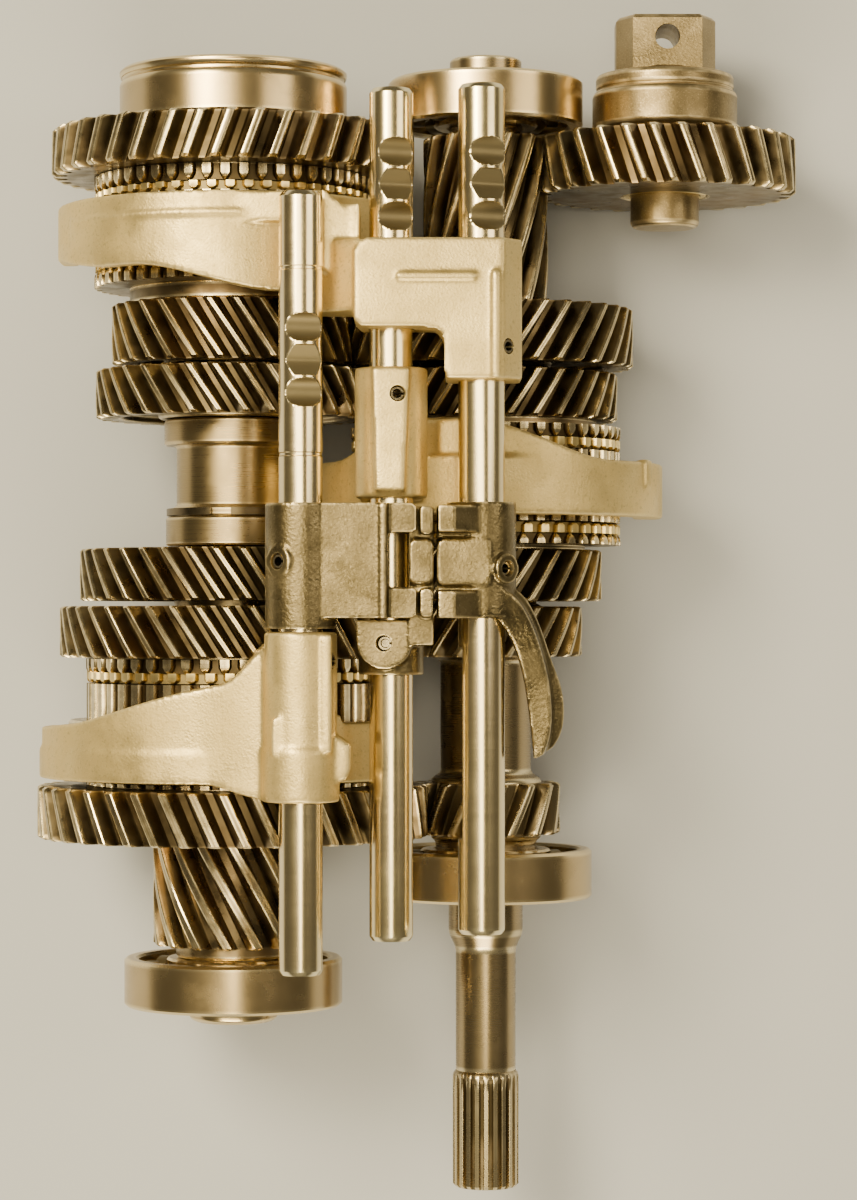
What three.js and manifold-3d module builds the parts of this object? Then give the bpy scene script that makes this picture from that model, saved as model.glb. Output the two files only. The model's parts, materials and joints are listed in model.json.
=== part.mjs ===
// The gear set of a five-speed manual transmission, out of its casing and lying on a flat surface.
// Output (counter) shaft on the left, input shaft on the right, three shift rods above them, and the
// reverse idler unit at the upper right. Millimetres, +Z up, both shafts run along Y.
import * as THREE from 'three';
import { mergeVertices } from 'three/addons/utils/BufferGeometryUtils.js';
import Module from 'manifold-3d';

const wasm = await Module();
wasm.setup();

// ---------------------------------------------------------------------------------------------
// Driving dimensions
// ---------------------------------------------------------------------------------------------
const GAP = 0.3;                 // working clearance between neighbouring solids
const CENTRE_SHIFT = [2.8, -6.25, 0];  // moves the middle of the assembly onto the origin

const OUTPUT_AXIS = [-66, 66];   // x, z of the output shaft
const INPUT_AXIS = [19.6, 50.5]; // x, z of the input shaft
const IDLER_AXIS = [81.4, 45.2]; // x, z of the reverse idler spindle
const ROD_1_2 = { x: -40.6, z: 136, radius: 7, from: -112.7, to: 135.9 };
const ROD_3_4 = { x: -12, z: 124, radius: 7, from: -102.9, to: 169.4 };
const ROD_5_R = { x: 17, z: 126, radius: 7.5, from: -100.6, to: 170 };

const CENTRE_DISTANCE = Math.hypot(INPUT_AXIS[0] - OUTPUT_AXIS[0], INPUT_AXIS[1] - OUTPUT_AXIS[1]);
const ADDENDUM = 2.3;
const VALLEY_DEPTH = 4.5;        // tooth valleys are cut to a V below the pitch circle
const TIP_HALF = 0.085;          // half the tip's width, as a share of the tooth pitch
const HELIX_FIRST = 24;          // degrees
const HELIX_FORWARD = 33;
const HELIX_REVERSE = 20;
const HELIX_FINAL = 28;

// Tooth counts of each pair: the wheel on the output shaft, then its mate on the input shaft.
const TEETH = {
  first: [41, 15],
  second: [42, 23],
  third: [37, 28],
  fourth: [33, 32],
  fifth: [29, 36],
};
const REVERSE_TEETH = { drive: 13, idler: 29, driven: 40 };
const REVERSE_MODULE = 2.945;
const FINAL_TEETH = 16;
const FINAL_PITCH_RADIUS = 24.9;

// Face widths along Y, shared by both gears of a pair.
const FACE = {
  first: [-73, -55.5],
  second: [-12.4, 4.6],
  third: [6.5, 23.8],
  fourth: [67.8, 84],
  fifth: [86, 106],
  final: [-109.4, -73.6],
  reverse: [148.9, 164.5],
  idler: [145.8, 165.3],
  reverseDrive: [108, 165],
};

// Synchronisers: hub centre along Y, dog ring radius, sleeve bore, outer and groove radii.
const SYNCHRO_1_2 = { centre: -34.5, hubHalf: 13.5, dogs: 49.7, sleeveWidth: 20, groove: 53, outer: 55.5 };
const SYNCHRO_3_4 = { centre: 45, hubHalf: 11.8, dogs: 46.3, sleeveWidth: 17, groove: 48.6, outer: 50.3 };
const SYNCHRO_5_R = { centre: 130, hubHalf: 10, dogs: 46.9, sleeveWidth: 17, groove: 49.5, outer: 52 };
const GROOVE_WIDTH = 7;
const FIRST_GEAR_SHIFT = -9;     // the 1-2 sleeve stands over the first gear's dogs
const DOG_COUNT = 14;
const FINE = 20;                 // sides of the sleeves and races
const COARSE = 16;               // sides of the shafts, bores and rings

const SHAFT_REACH = 260;         // beyond either end of the longest shaft

const PIN_RADIUS = 2.5;
const PIN_HOLE_RADIUS = 2.8;
const PIN_BORE_RADIUS = 1.4;

// ---------------------------------------------------------------------------------------------
// Materials
// ---------------------------------------------------------------------------------------------
const STEEL_DARK = { color: 0x5a4f3c, roughness: 0.35, metalness: 0.9 };
const STEEL_BRIGHT = { color: 0xb8a684, roughness: 0.25, metalness: 0.95 };
const STEEL_RACE = { color: 0xa88f62, roughness: 0.3, metalness: 0.9 };
const BRASS = { color: 0xc9a24c, roughness: 0.35, metalness: 0.9 };
const CAST_ALLOY = { color: 0xcdbd96, roughness: 0.6, metalness: 0.6 };
const CAST_IRON = { color: 0x7d6f52, roughness: 0.55, metalness: 0.8 };
const PIN_STEEL = { color: 0x3a342b, roughness: 0.4, metalness: 0.9 };

// ---------------------------------------------------------------------------------------------
// Solids and shapes
// ---------------------------------------------------------------------------------------------
function solid(geometry) {
  const bare = geometry.clone();
  bare.deleteAttribute('normal');
  bare.deleteAttribute('uv');
  const merged = mergeVertices(bare, 1e-4);
  const corners = merged.index.array;
  const kept = [];
  for (let i = 0; i < corners.length; i += 3) {
    const [a, b, c] = corners.slice(i, i + 3);
    if (a !== b && b !== c && c !== a) {
      kept.push(a, b, c);
    }
  }
  return new wasm.Manifold(new wasm.Mesh({
    numProp: 3,
    vertProperties: merged.attributes.position.array,
    triVerts: Uint32Array.from(kept),
  }));
}

function geometryOf(body) {
  const mesh = body.getMesh();
  const geometry = new THREE.BufferGeometry();
  geometry.setAttribute('position', new THREE.BufferAttribute(mesh.vertProperties, 3));
  geometry.setIndex(new THREE.BufferAttribute(mesh.triVerts, 1));
  geometry.computeVertexNormals();
  return geometry;
}

function joined(bodies) {
  return bodies.reduce((whole, body) => whole.add(body));
}

// A shape turned about the Y axis, from [radius, y] points that run anticlockwise.
function turned(points, segments = COARSE) {
  return solid(new THREE.LatheGeometry(points.map(([r, y]) => new THREE.Vector2(r, y)), segments));
}

function bar(radius, from, to, segments = COARSE) {
  return turned([[0, from], [radius, from], [radius, to], [0, to]], segments);
}

function tube(inner, outer, from, to, segments = COARSE) {
  return turned([[inner, from], [outer, from], [outer, to], [inner, to], [inner, from]], segments);
}

// Stepped round bar: steps are [radius, y at the step's far end], from the start y upwards.
function steppedBar(from, steps, segments = COARSE) {
  const points = [[0, from]];
  let y = from;
  for (const [radius, end] of steps) {
    points.push([radius, y], [radius, end]);
    y = end;
  }
  points.push([0, y]);
  return turned(points, segments);
}

function block(x0, x1, y0, y1, z0, z1) {
  const geometry = new THREE.BoxGeometry(x1 - x0, y1 - y0, z1 - z0);
  return solid(geometry.translate((x0 + x1) / 2, (y0 + y1) / 2, (z0 + z1) / 2));
}

function extruded(outline, depth) {
  const shape = new THREE.Shape(outline.map(([a, b]) => new THREE.Vector2(a, b)));
  return new THREE.ExtrudeGeometry(shape, { depth, bevelEnabled: false });
}

// Prisms whose outline is seen from above ([x, y]) or along the shafts ([x, z]).
function prismUp(outline, z0, z1) {
  return solid(extruded(outline, z1 - z0).translate(0, 0, z0));
}

function prismAlong(outline, y0, y1) {
  const mirrored = outline.map(([x, z]) => [x, -z]);
  return solid(extruded(mirrored, y1 - y0).rotateX(-Math.PI / 2).translate(0, y0, 0));
}

function barAt(x, z, radius, from, to, segments = COARSE) {
  const geometry = new THREE.CylinderGeometry(radius, radius, to - from, segments);
  return solid(geometry.translate(x, (from + to) / 2, z));
}

// A bar in the XZ plane through (x, y, z), leaning from the vertical towards +X.
function crossBar(x, y, z, radius, low, high, leanDegrees, segments = 10) {
  const geometry = new THREE.CylinderGeometry(radius, radius, high - low, segments);
  geometry.translate(0, (low + high) / 2, 0).rotateX(Math.PI / 2);
  geometry.rotateY(THREE.MathUtils.degToRad(leanDegrees));
  return solid(geometry.translate(x, y, z));
}

// Sector of a ring about a shaft axis. Angles run from straight up towards +X. The inner corners
// stand back so that the flats between them clear the inner radius.
function ringSector([axisX, axisZ], inner, outer, y0, y1, fromDegrees, toDegrees, steps = 11) {
  const standBack = 1 / Math.cos(THREE.MathUtils.degToRad((toDegrees - fromDegrees) / steps / 2));
  const angles = Array.from({ length: steps + 1 }, (_, i) => (
    THREE.MathUtils.degToRad(fromDegrees + (toDegrees - fromDegrees) * i / steps)
  ));
  const at = (radius, angle) => [axisX + radius * Math.sin(angle), axisZ + radius * Math.cos(angle)];
  const outline = angles.map((angle) => at(outer, angle));
  outline.push(...angles.reverse().map((angle) => at(inner * standBack, angle)));
  return prismAlong(outline, y0, y1);
}

// ---------------------------------------------------------------------------------------------
// Gears
// ---------------------------------------------------------------------------------------------
const polar = (radius, angle) => new THREE.Vector2(radius * Math.cos(angle), radius * Math.sin(angle));

// Direction from the output axis to the input axis, as an angle from straight up towards +X.
const MESH_ANGLE = Math.atan2(INPUT_AXIS[0] - OUTPUT_AXIS[0], INPUT_AXIS[1] - OUTPUT_AXIS[1]);
const IDLER_ANGLE = Math.atan2(IDLER_AXIS[0] - INPUT_AXIS[0], IDLER_AXIS[1] - INPUT_AXIS[1]);

// Outline of V-grooved teeth: a valley point, then the two corners of the next tip.
function toothOutline(teeth, pitchRadius, phase, tipHalf) {
  const pitch = 2 * Math.PI / teeth;
  const points = [];
  for (let i = 0; i < teeth; i += 1) {
    const centre = phase + i * pitch - Math.PI / 2;
    points.push(polar(pitchRadius - VALLEY_DEPTH, centre - pitch / 2));
    points.push(polar(pitchRadius + ADDENDUM, centre - tipHalf * pitch));
    points.push(polar(pitchRadius + ADDENDUM, centre + tipHalf * pitch));
  }
  return points;
}

// A helical gear about Y. lean is the helix angle in degrees, positive when a tooth on the top side
// moves towards +X as y grows. phase is the angle of one tooth where y is datum.
function helicalGear({ teeth, pitchRadius, face, lean, phase, steps = 1, datum, tipHalf = TIP_HALF }) {
  const [from, to] = face;
  const shape = new THREE.Shape(toothOutline(teeth, pitchRadius, phase, tipHalf));
  const geometry = new THREE.ExtrudeGeometry(shape, { depth: to - from, steps, bevelEnabled: false });
  geometry.rotateX(-Math.PI / 2).translate(0, from, 0);
  const middle = datum === undefined ? (from + to) / 2 : datum;
  const turnPerMillimetre = Math.tan(THREE.MathUtils.degToRad(lean)) / pitchRadius;
  const spots = geometry.attributes.position;
  const spot = new THREE.Vector3();
  const axis = new THREE.Vector3(0, 1, 0);
  for (let i = 0; i < spots.count; i += 1) {
    spot.fromBufferAttribute(spots, i);
    spot.applyAxisAngle(axis, turnPerMillimetre * (spot.y - middle));
    spots.setXYZ(i, spot.x, spot.y, spot.z);
  }
  return solid(geometry);
}

// One wheel of a forward pair, on the output shaft (side 0) or on the input shaft (side 1).
function forwardGear(name, side, helix, steps = 1) {
  const [driven, drive] = TEETH[name];
  const teeth = TEETH[name][side];
  const module = 2 * CENTRE_DISTANCE / (driven + drive);
  const phase = side === 0 ? MESH_ANGLE : MESH_ANGLE + Math.PI + Math.PI / teeth;
  const lean = side === 0 ? -helix : helix;
  return helicalGear({ teeth, pitchRadius: teeth * module / 2, face: FACE[name], lean, phase, steps });
}

function boredOut(body, radius) {
  return body.subtract(bar(radius, -SHAFT_REACH, SHAFT_REACH));
}

// Disc of pointed dog teeth that a synchroniser sleeve slides over.
function dogDisc(radius, from, to) {
  const outline = [];
  for (let i = 0; i < DOG_COUNT; i += 1) {
    const angle = 2 * Math.PI * i / DOG_COUNT;
    outline.push(polar(radius, angle), polar(radius - 1.8, angle + Math.PI / DOG_COUNT));
  }
  return prismAlong(outline.map(({ x, y }) => [x, y]), from, to);
}

// A wheel with a neck, dogs and a friction cone on its +Y side (side 1) or its -Y side (side -1).
const CONE_INSET = 7.2;
const CONE_LENGTH = 2.8;

function looseGear(wheel, { dogs, neck, from, to, side, bore }) {
  const [coneFrom, coneTo] = side > 0 ? [to - 0.1, to + CONE_LENGTH] : [from - CONE_LENGTH, from + 0.1];
  const [neckFrom, neckTo] = side > 0 ? [from - 1, from + 0.1] : [to - 0.1, to + 1];
  return boredOut(joined([
    wheel,
    bar(neck, neckFrom, neckTo),
    dogDisc(dogs, from, to),
    bar(dogs - CONE_INSET, coneFrom, coneTo),
  ]), bore);
}

function synchroRing(dogs, from, to) {
  return tube(dogs - CONE_INSET + GAP + 0.6, dogs - 0.9, from, to);
}

function hub({ centre, hubHalf, dogs }, bore) {
  return tube(bore, dogs - 0.3, centre - hubHalf, centre + hubHalf);
}

function sleeve({ centre, dogs, sleeveWidth, groove, outer }, shift = 0) {
  const inner = dogs + 0.75;
  const middle = centre + shift;
  const half = sleeveWidth / 2;
  const slot = GROOVE_WIDTH / 2;
  return turned([
    [inner, middle - half], [outer, middle - half], [outer, middle - slot], [groove, middle - slot],
    [groove, middle + slot], [outer, middle + slot], [outer, middle + half], [inner, middle + half],
    [inner, middle - half],
  ], FINE);
}

// ---------------------------------------------------------------------------------------------
// Bearings
// ---------------------------------------------------------------------------------------------
const ROLLER_COUNT = 6;

function bearing({ from, to, bore, outer }) {
  const wall = (outer - bore) * 0.25;
  const innerRace = tube(bore, bore + wall, from, to);
  const outerRace = tube(outer - wall, outer, from, to, FINE);
  const low = bore + wall + GAP;
  const high = (outer - wall) * Math.cos(Math.PI / FINE) - GAP;
  const pitch = (low + high) / 2;
  const roller = (high - low) / 2;
  const cage = tube(pitch - roller * 0.3, pitch + roller * 0.3, from + 1.5, to - 1.5, 2 * ROLLER_COUNT);
  const rollers = Array.from({ length: ROLLER_COUNT }, (_, i) => {
    const angle = 2 * Math.PI * i / ROLLER_COUNT;
    return barAt(pitch * Math.sin(angle), pitch * Math.cos(angle), roller, from + 2.5, to - 2.5, 6);
  });
  return { innerRace, outerRace, elements: joined([cage, ...rollers]) };
}

// ---------------------------------------------------------------------------------------------
// Assembly
// ---------------------------------------------------------------------------------------------
const transmission = new THREE.Group();
const bench = new THREE.Group();
bench.position.set(...CENTRE_SHIFT);
transmission.add(bench);

function shaftGroup([x, z]) {
  const group = new THREE.Group();
  group.position.set(x, 0, z);
  bench.add(group);
  return group;
}

function place(name, body, look, parent = bench) {
  const mesh = new THREE.Mesh(geometryOf(body), new THREE.MeshStandardMaterial(look));
  mesh.name = name;
  parent.add(mesh);
}

const outputLine = shaftGroup(OUTPUT_AXIS);
const inputLine = shaftGroup(INPUT_AXIS);
const idlerLine = shaftGroup(IDLER_AXIS);

function placeBearing(name, sizes, parent) {
  const { innerRace, outerRace, elements } = bearing(sizes);
  place(`${name}_outer_race`, outerRace, STEEL_RACE, parent);
  place(`${name}_inner_race`, innerRace, STEEL_RACE, parent);
  place(`${name}_cage_and_rollers`, elements, BRASS, parent);
}

// Output shaft ---------------------------------------------------------------------------------
const LARGE_SEAT = 20;
const SMALL_SEAT = 16;
const LARGE_BORE = LARGE_SEAT + GAP + 0.1;
const SMALL_BORE = SMALL_SEAT + GAP + 0.1;

const finalPinion = helicalGear({
  teeth: FINAL_TEETH,
  pitchRadius: FINAL_PITCH_RADIUS,
  face: FACE.final,
  lean: -HELIX_FINAL,
  phase: 0,
  steps: 2,
  tipHalf: 0.13,
});
const outputShaft = steppedBar(-134.8, [
  [10, -130.2], [17.4, -113.4], [LARGE_SEAT, 24.4], [SMALL_SEAT, 166], [15, 186.2],
]);
place('output_shaft', outputShaft.add(finalPinion), STEEL_DARK, outputLine);

const nutProfile = [
  [10.4, -130.6], [10.4, -135.7], [12.6, -135.7], [15.2, -133.9], [15.2, -130.6], [10.4, -130.6],
];
place('output_shaft_nut', turned(nutProfile), STEEL_RACE, outputLine);

placeBearing('output_front_bearing', { from: -130, to: -113.8, bore: 17.8, outer: 36.8 }, outputLine);
placeBearing('output_rear_bearing', { from: 167, to: 185.3, bore: 15.4, outer: 38.4 }, outputLine);

const firstDogs = { dogs: SYNCHRO_1_2.dogs, neck: 46, from: -55.6, to: -51.3, side: 1, bore: LARGE_BORE };
place('first_gear', looseGear(forwardGear('first', 0, HELIX_FIRST), firstDogs), STEEL_DARK, outputLine);
place('first_synchro_ring', synchroRing(SYNCHRO_1_2.dogs, -51, -48.5), BRASS, outputLine);
place('synchro_hub_1_2', hub(SYNCHRO_1_2, LARGE_BORE), STEEL_DARK, outputLine);
place('synchro_sleeve_1_2', sleeve(SYNCHRO_1_2, FIRST_GEAR_SHIFT), STEEL_BRIGHT, outputLine);
place('second_synchro_ring', synchroRing(SYNCHRO_1_2.dogs, -20.6, -18.1), BRASS, outputLine);
const secondDogs = { dogs: SYNCHRO_1_2.dogs, neck: 46, from: -17.7, to: -13, side: -1, bore: LARGE_BORE };
place('second_gear', looseGear(forwardGear('second', 0, HELIX_FORWARD), secondDogs), STEEL_DARK, outputLine);

place('third_driven_gear', boredOut(forwardGear('third', 0, HELIX_FORWARD), LARGE_BORE),
  STEEL_DARK, outputLine);

const spacerProfile = [
  [SMALL_BORE, 25], [22.8, 25], [22.8, 34.6], [20.8, 34.6], [20.8, 38], [19.2, 38],
  [19.2, 58.6], [23.3, 58.6], [23.3, 67.4], [SMALL_BORE, 67.4], [SMALL_BORE, 25],
];
place('output_spacer_sleeve', turned(spacerProfile), STEEL_RACE, outputLine);
const splitRing = tube(21.3, 22.5, 35, 37.6).subtract(block(-4, 4, 34, 39, -30, 0));
place('output_split_ring', splitRing, STEEL_BRIGHT, outputLine);

place('fourth_driven_gear', boredOut(forwardGear('fourth', 0, HELIX_FORWARD), SMALL_BORE),
  STEEL_DARK, outputLine);

const fifthWheel = forwardGear('fifth', 0, HELIX_FORWARD).add(bar(35, 105.9, 111));
const fifthDogs = { dogs: SYNCHRO_5_R.dogs, neck: 35, from: 111.7, to: 116.8, side: 1, bore: SMALL_BORE };
place('fifth_gear', looseGear(fifthWheel, fifthDogs), STEEL_DARK, outputLine);
place('fifth_synchro_ring', synchroRing(SYNCHRO_5_R.dogs, 117.2, 119.6), BRASS, outputLine);
place('synchro_hub_5_R', hub(SYNCHRO_5_R, SMALL_BORE), STEEL_DARK, outputLine);
place('synchro_sleeve_5_R', sleeve(SYNCHRO_5_R), STEEL_BRIGHT, outputLine);
place('reverse_synchro_ring', synchroRing(SYNCHRO_5_R.dogs, 140.4, 142.8), BRASS, outputLine);
const reverseWheel = helicalGear({
  teeth: REVERSE_TEETH.driven,
  pitchRadius: REVERSE_TEETH.driven * REVERSE_MODULE / 2,
  face: FACE.reverse,
  lean: HELIX_REVERSE,
  phase: 0,
});
const reverseDogs = { dogs: SYNCHRO_5_R.dogs, neck: 44, from: 143.2, to: 148.4, side: -1, bore: SMALL_BORE };
place('reverse_gear', looseGear(reverseWheel, reverseDogs), STEEL_DARK, outputLine);

// Input shaft ----------------------------------------------------------------------------------
const INPUT_SEAT = 17;
const INPUT_BORE = INPUT_SEAT + GAP + 0.1;
const SPLINE_COUNT = 22;
const SPLINE_RADIUS = 11.35;

function splineBar(from, to) {
  const outline = [];
  for (let i = 0; i < SPLINE_COUNT; i += 1) {
    const angle = 2 * Math.PI * i / SPLINE_COUNT;
    outline.push(polar(SPLINE_RADIUS, angle), polar(SPLINE_RADIUS - 1.3, angle + Math.PI / SPLINE_COUNT));
  }
  const points = outline.map(({ x, y }) => [x, y]);
  return prismAlong(points, from, to);
}

const inputShaft = joined([
  turned([
    [0, -155.5], [10, -155.5], [10.3, -112.6], [12.7, -107], [12.7, -95.4], [17.2, -95.4],
    [17.2, -54], [15.5, -52], [15.5, -12], [INPUT_SEAT, 4], [INPUT_SEAT, 85.4], [15, 85.4],
    [15, 107], [12.3, 107], [12.3, 192], [0, 192],
  ]),
  splineBar(-194, -155),
  forwardGear('first', 1, HELIX_FIRST, 2),
  forwardGear('second', 1, HELIX_FORWARD),
]);
place('input_shaft', inputShaft, STEEL_DARK, inputLine);

placeBearing('input_front_bearing', { from: -94.9, to: -78.2, bore: 17.6, outer: 36.3 }, inputLine);
placeBearing('input_rear_bearing', { from: 168.6, to: 184.4, bore: 12.7, outer: 33.3 }, inputLine);

const thirdDogs = { dogs: SYNCHRO_3_4.dogs, neck: 34, from: 24.4, to: 28.8, side: 1, bore: INPUT_BORE };
place('third_drive_gear', looseGear(forwardGear('third', 1, HELIX_FORWARD), thirdDogs), STEEL_DARK, inputLine);
place('third_synchro_ring', synchroRing(SYNCHRO_3_4.dogs, 29.2, 32.2), BRASS, inputLine);
place('synchro_hub_3_4', hub(SYNCHRO_3_4, INPUT_BORE), STEEL_DARK, inputLine);
place('synchro_sleeve_3_4', sleeve(SYNCHRO_3_4), STEEL_BRIGHT, inputLine);
place('fourth_synchro_ring', synchroRing(SYNCHRO_3_4.dogs, 57.8, 60.8), BRASS, inputLine);
const fourthDogs = { dogs: SYNCHRO_3_4.dogs, neck: 38, from: 61.2, to: 67.2, side: -1, bore: INPUT_BORE };
place('fourth_drive_gear', looseGear(forwardGear('fourth', 1, HELIX_FORWARD), fourthDogs),
  STEEL_DARK, inputLine);
place('fifth_drive_gear', boredOut(forwardGear('fifth', 1, HELIX_FORWARD), 15.5), STEEL_DARK, inputLine);
const reverseDrive = helicalGear({
  teeth: REVERSE_TEETH.drive,
  pitchRadius: REVERSE_TEETH.drive * REVERSE_MODULE / 2,
  face: FACE.reverseDrive,
  lean: HELIX_REVERSE,
  phase: IDLER_ANGLE,
  steps: 3,
  datum: (FACE.idler[0] + FACE.idler[1]) / 2,
});
place('reverse_drive_gear', boredOut(reverseDrive, 12.7), STEEL_DARK, inputLine);

// Reverse idler unit ---------------------------------------------------------------------------
const SPINDLE_RADIUS = 11.8;
const HEAD_RADIUS = 17.2;
const BOLT_HOLE_RADIUS = 4.25;
const BOLT_HOLE_Y = 198.8;

const hexHead = Array.from({ length: 6 }, (_, i) => {
  const angle = Math.PI / 3 * i;
  return [HEAD_RADIUS * Math.cos(angle), HEAD_RADIUS * Math.sin(angle)];
});
const idlerBlock = joined([
  prismAlong(hexHead, 187, 206.5),
  turned([
    [0, 135], [SPINDLE_RADIUS, 135], [SPINDLE_RADIUS, 167.2], [24.9, 167.2], [24.9, 181.6],
    [23.7, 181.6], [23.7, 187.4], [0, 187.4],
  ], FINE),
]).subtract(crossBar(0, BOLT_HOLE_Y, 0, BOLT_HOLE_RADIUS, -40, 40, 0, 16));
place('idler_spindle', idlerBlock, CAST_ALLOY, idlerLine);
place('idler_thrust_washer', tube(12.4, 19, 165.6, 166.9), BRASS, idlerLine);
place('idler_bush', tube(12.4, 14.2, 146, 165.2), BRASS, idlerLine);
const idlerGear = helicalGear({
  teeth: REVERSE_TEETH.idler,
  pitchRadius: REVERSE_TEETH.idler * REVERSE_MODULE / 2,
  face: FACE.idler,
  lean: -HELIX_REVERSE,
  phase: IDLER_ANGLE + Math.PI + Math.PI / REVERSE_TEETH.idler,
});
place('reverse_idler_gear', boredOut(idlerGear, 14.7), STEEL_DARK, idlerLine);

// Shift rods, forks and selectors ----------------------------------------------------------------
const NOTCH_PITCH = 10.2;

const NOTCH_DEPTH = 1.8;
const NOTCH_LEAN = 40;           // degrees from straight up towards +X
const NOTCH_HALF = 4;

// A three-sided bar that cuts a V notch across a rod, depth measured from the rod's axis.
function ridgeCut(x, y, z, deep, lean) {
  const outline = [[-NOTCH_HALF - 3, 0], [NOTCH_HALF + 3, 0], [0, -NOTCH_HALF - 3]];
  const geometry = extruded(outline, 30).rotateX(Math.PI / 2).rotateZ(Math.PI / 2);
  geometry.translate(-15, 0, deep);
  return solid(geometry.rotateY(THREE.MathUtils.degToRad(lean)).translate(x, y, z));
}

function detentRod({ x, z, radius, from, to }, firstNotch) {
  const body = barAt(x, z, radius, from, to);
  const notches = [0, 1, 2].map((i) => (
    ridgeCut(x, firstNotch + i * NOTCH_PITCH, z, radius - NOTCH_DEPTH, NOTCH_LEAN)
  ));
  return notches.reduce((rod, notch) => rod.subtract(notch), body);
}

// A roll pin crosses a boss and its rod; every piece it crosses gets a hole.
const PINS = {
  fork_1_2_pin: { rod: ROD_1_2, y: -13, lean: 58, low: -11.6, high: 12 },
  fork_3_4_pin: { rod: ROD_3_4, y: 72, lean: 10, low: -11, high: 11.6 },
  fork_5_R_pin: { rod: ROD_5_R, y: 87, lean: 42, low: -12.2, high: 12.6 },
  selector_1_2_pin: { rod: ROD_1_2, y: 18.5, lean: -38, low: -10.4, high: 11 },
  jaw_3_4_pin: { rod: ROD_3_4, y: -7.4, lean: -10, low: -10, high: 10.4 },
  lever_5_R_pin: { rod: ROD_5_R, y: 16.4, lean: 42, low: -10.6, high: 11 },
};

function pinHole({ rod, y, lean }) {
  return crossBar(rod.x, y, rod.z, PIN_HOLE_RADIUS, -40, 40, lean);
}

function drilled(body, pinNames) {
  return pinNames.reduce((rest, name) => rest.subtract(pinHole(PINS[name])), body);
}

function bored(body, rod, gap = GAP) {
  return body.subtract(barAt(rod.x, rod.z, rod.radius + gap + 0.1, -SHAFT_REACH, SHAFT_REACH));
}

place('shift_rod_1_2', drilled(detentRod(ROD_1_2, 71), ['fork_1_2_pin', 'selector_1_2_pin']), STEEL_BRIGHT);
place('shift_rod_3_4', drilled(detentRod(ROD_3_4, 127), ['fork_3_4_pin', 'jaw_3_4_pin']), STEEL_BRIGHT);
const flat = block(0, ROD_5_R.x - ROD_5_R.radius + 1.4, -70, -9, ROD_5_R.z - 10, ROD_5_R.z + 10);
const rodFiveR = detentRod(ROD_5_R, 127).subtract(flat);
place('shift_rod_5_R', drilled(rodFiveR, ['fork_5_R_pin', 'lever_5_R_pin']), STEEL_BRIGHT);

for (const [name, pin] of Object.entries(PINS)) {
  const { rod, y, lean, low, high } = pin;
  const roll = crossBar(rod.x, y, rod.z, PIN_RADIUS, low, high, lean);
  place(name, roll.subtract(crossBar(rod.x, y, rod.z, PIN_BORE_RADIUS, low - 1, high + 1, lean, 10)), PIN_STEEL);
}

// The 1-2 fork stands on rod 1 and straddles the output shaft's lower sleeve.
const forkOneTwo = joined([
  ringSector(OUTPUT_AXIS, 56.6, 64.5, -52.7, -33.2, -98, 72),
  ringSector(OUTPUT_AXIS, 53.6, 59, -46.6, -40.4, -98, 72),
  prismAlong([[-88, 124], [-66, 130.4], [-52, 142], [-34, 127], [-36, 119], [-66, 125]], -52.7, -33.2),
  prismAlong([[-70, 128], [-52, 143], [-36, 128], [-52, 125.5]], -33.3, -18),
  barAt(ROD_1_2.x, ROD_1_2.z, 12.4, -58.2, -3.8),
  prismUp([[-31, -51], [-24.5, -49], [-24.5, -37], [-31, -34]], 130, 142),
]).subtract(barAt(OUTPUT_AXIS[0], OUTPUT_AXIS[1], 66.9, -60, -54.4, 48));
place('shift_fork_1_2', drilled(bored(forkOneTwo, ROD_1_2), ['fork_1_2_pin']), CAST_ALLOY);

// The 3-4 fork stands on rod 2 and straddles the input shaft's sleeve.
const forkThreeFour = joined([
  ringSector(INPUT_AXIS, 51, 59.5, 35, 54, -78, 98),
  ringSector(INPUT_AXIS, 49, 54, 41.9, 48.1, -78, 98),
  prismAlong([[-22, 118], [-4, 116.5], [30, 112], [36, 107], [19.6, 108], [-5, 103.4], [-16, 99]], 35, 57.5),
  barAt(ROD_3_4.x, ROD_3_4.z, 11.6, 39, 80.5),
  prismUp([[-16.6, 40], [-7.4, 40], [-6, 80], [-18, 80]], 130, 136.6),
]);
place('shift_fork_3_4', drilled(bored(forkThreeFour, ROD_3_4), ['fork_3_4_pin']), CAST_ALLOY);

// The 5-R fork is pinned to rod 3, slides on rod 2 and straddles the output shaft's upper sleeve.
const forkFiveR = joined([
  ringSector(OUTPUT_AXIS, 53.2, 59, 118, 138, -98, 72),
  ringSector(OUTPUT_AXIS, 49.9, 56, 126.9, 133.1, -98, 72),
  prismAlong([[-64, 124.6], [-36, 126], [-22, 131], [-22, 111], [-32, 111], [-42, 117]], 106, 138),
  block(-24, 30, 93, 121.5, 112, 138),
  barAt(ROD_5_R.x, ROD_5_R.z, 12.8, 76, 93.1),
  block(15.2, 18.4, 80, 114, 136, 139.6),
]).subtract(block(-33, 0, 121.5, 140, 130, 150));
place('shift_fork_5_R', drilled(bored(bored(forkFiveR, ROD_5_R), ROD_3_4, GAP + 0.1), ['fork_5_R_pin']),
  CAST_ALLOY);

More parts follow.
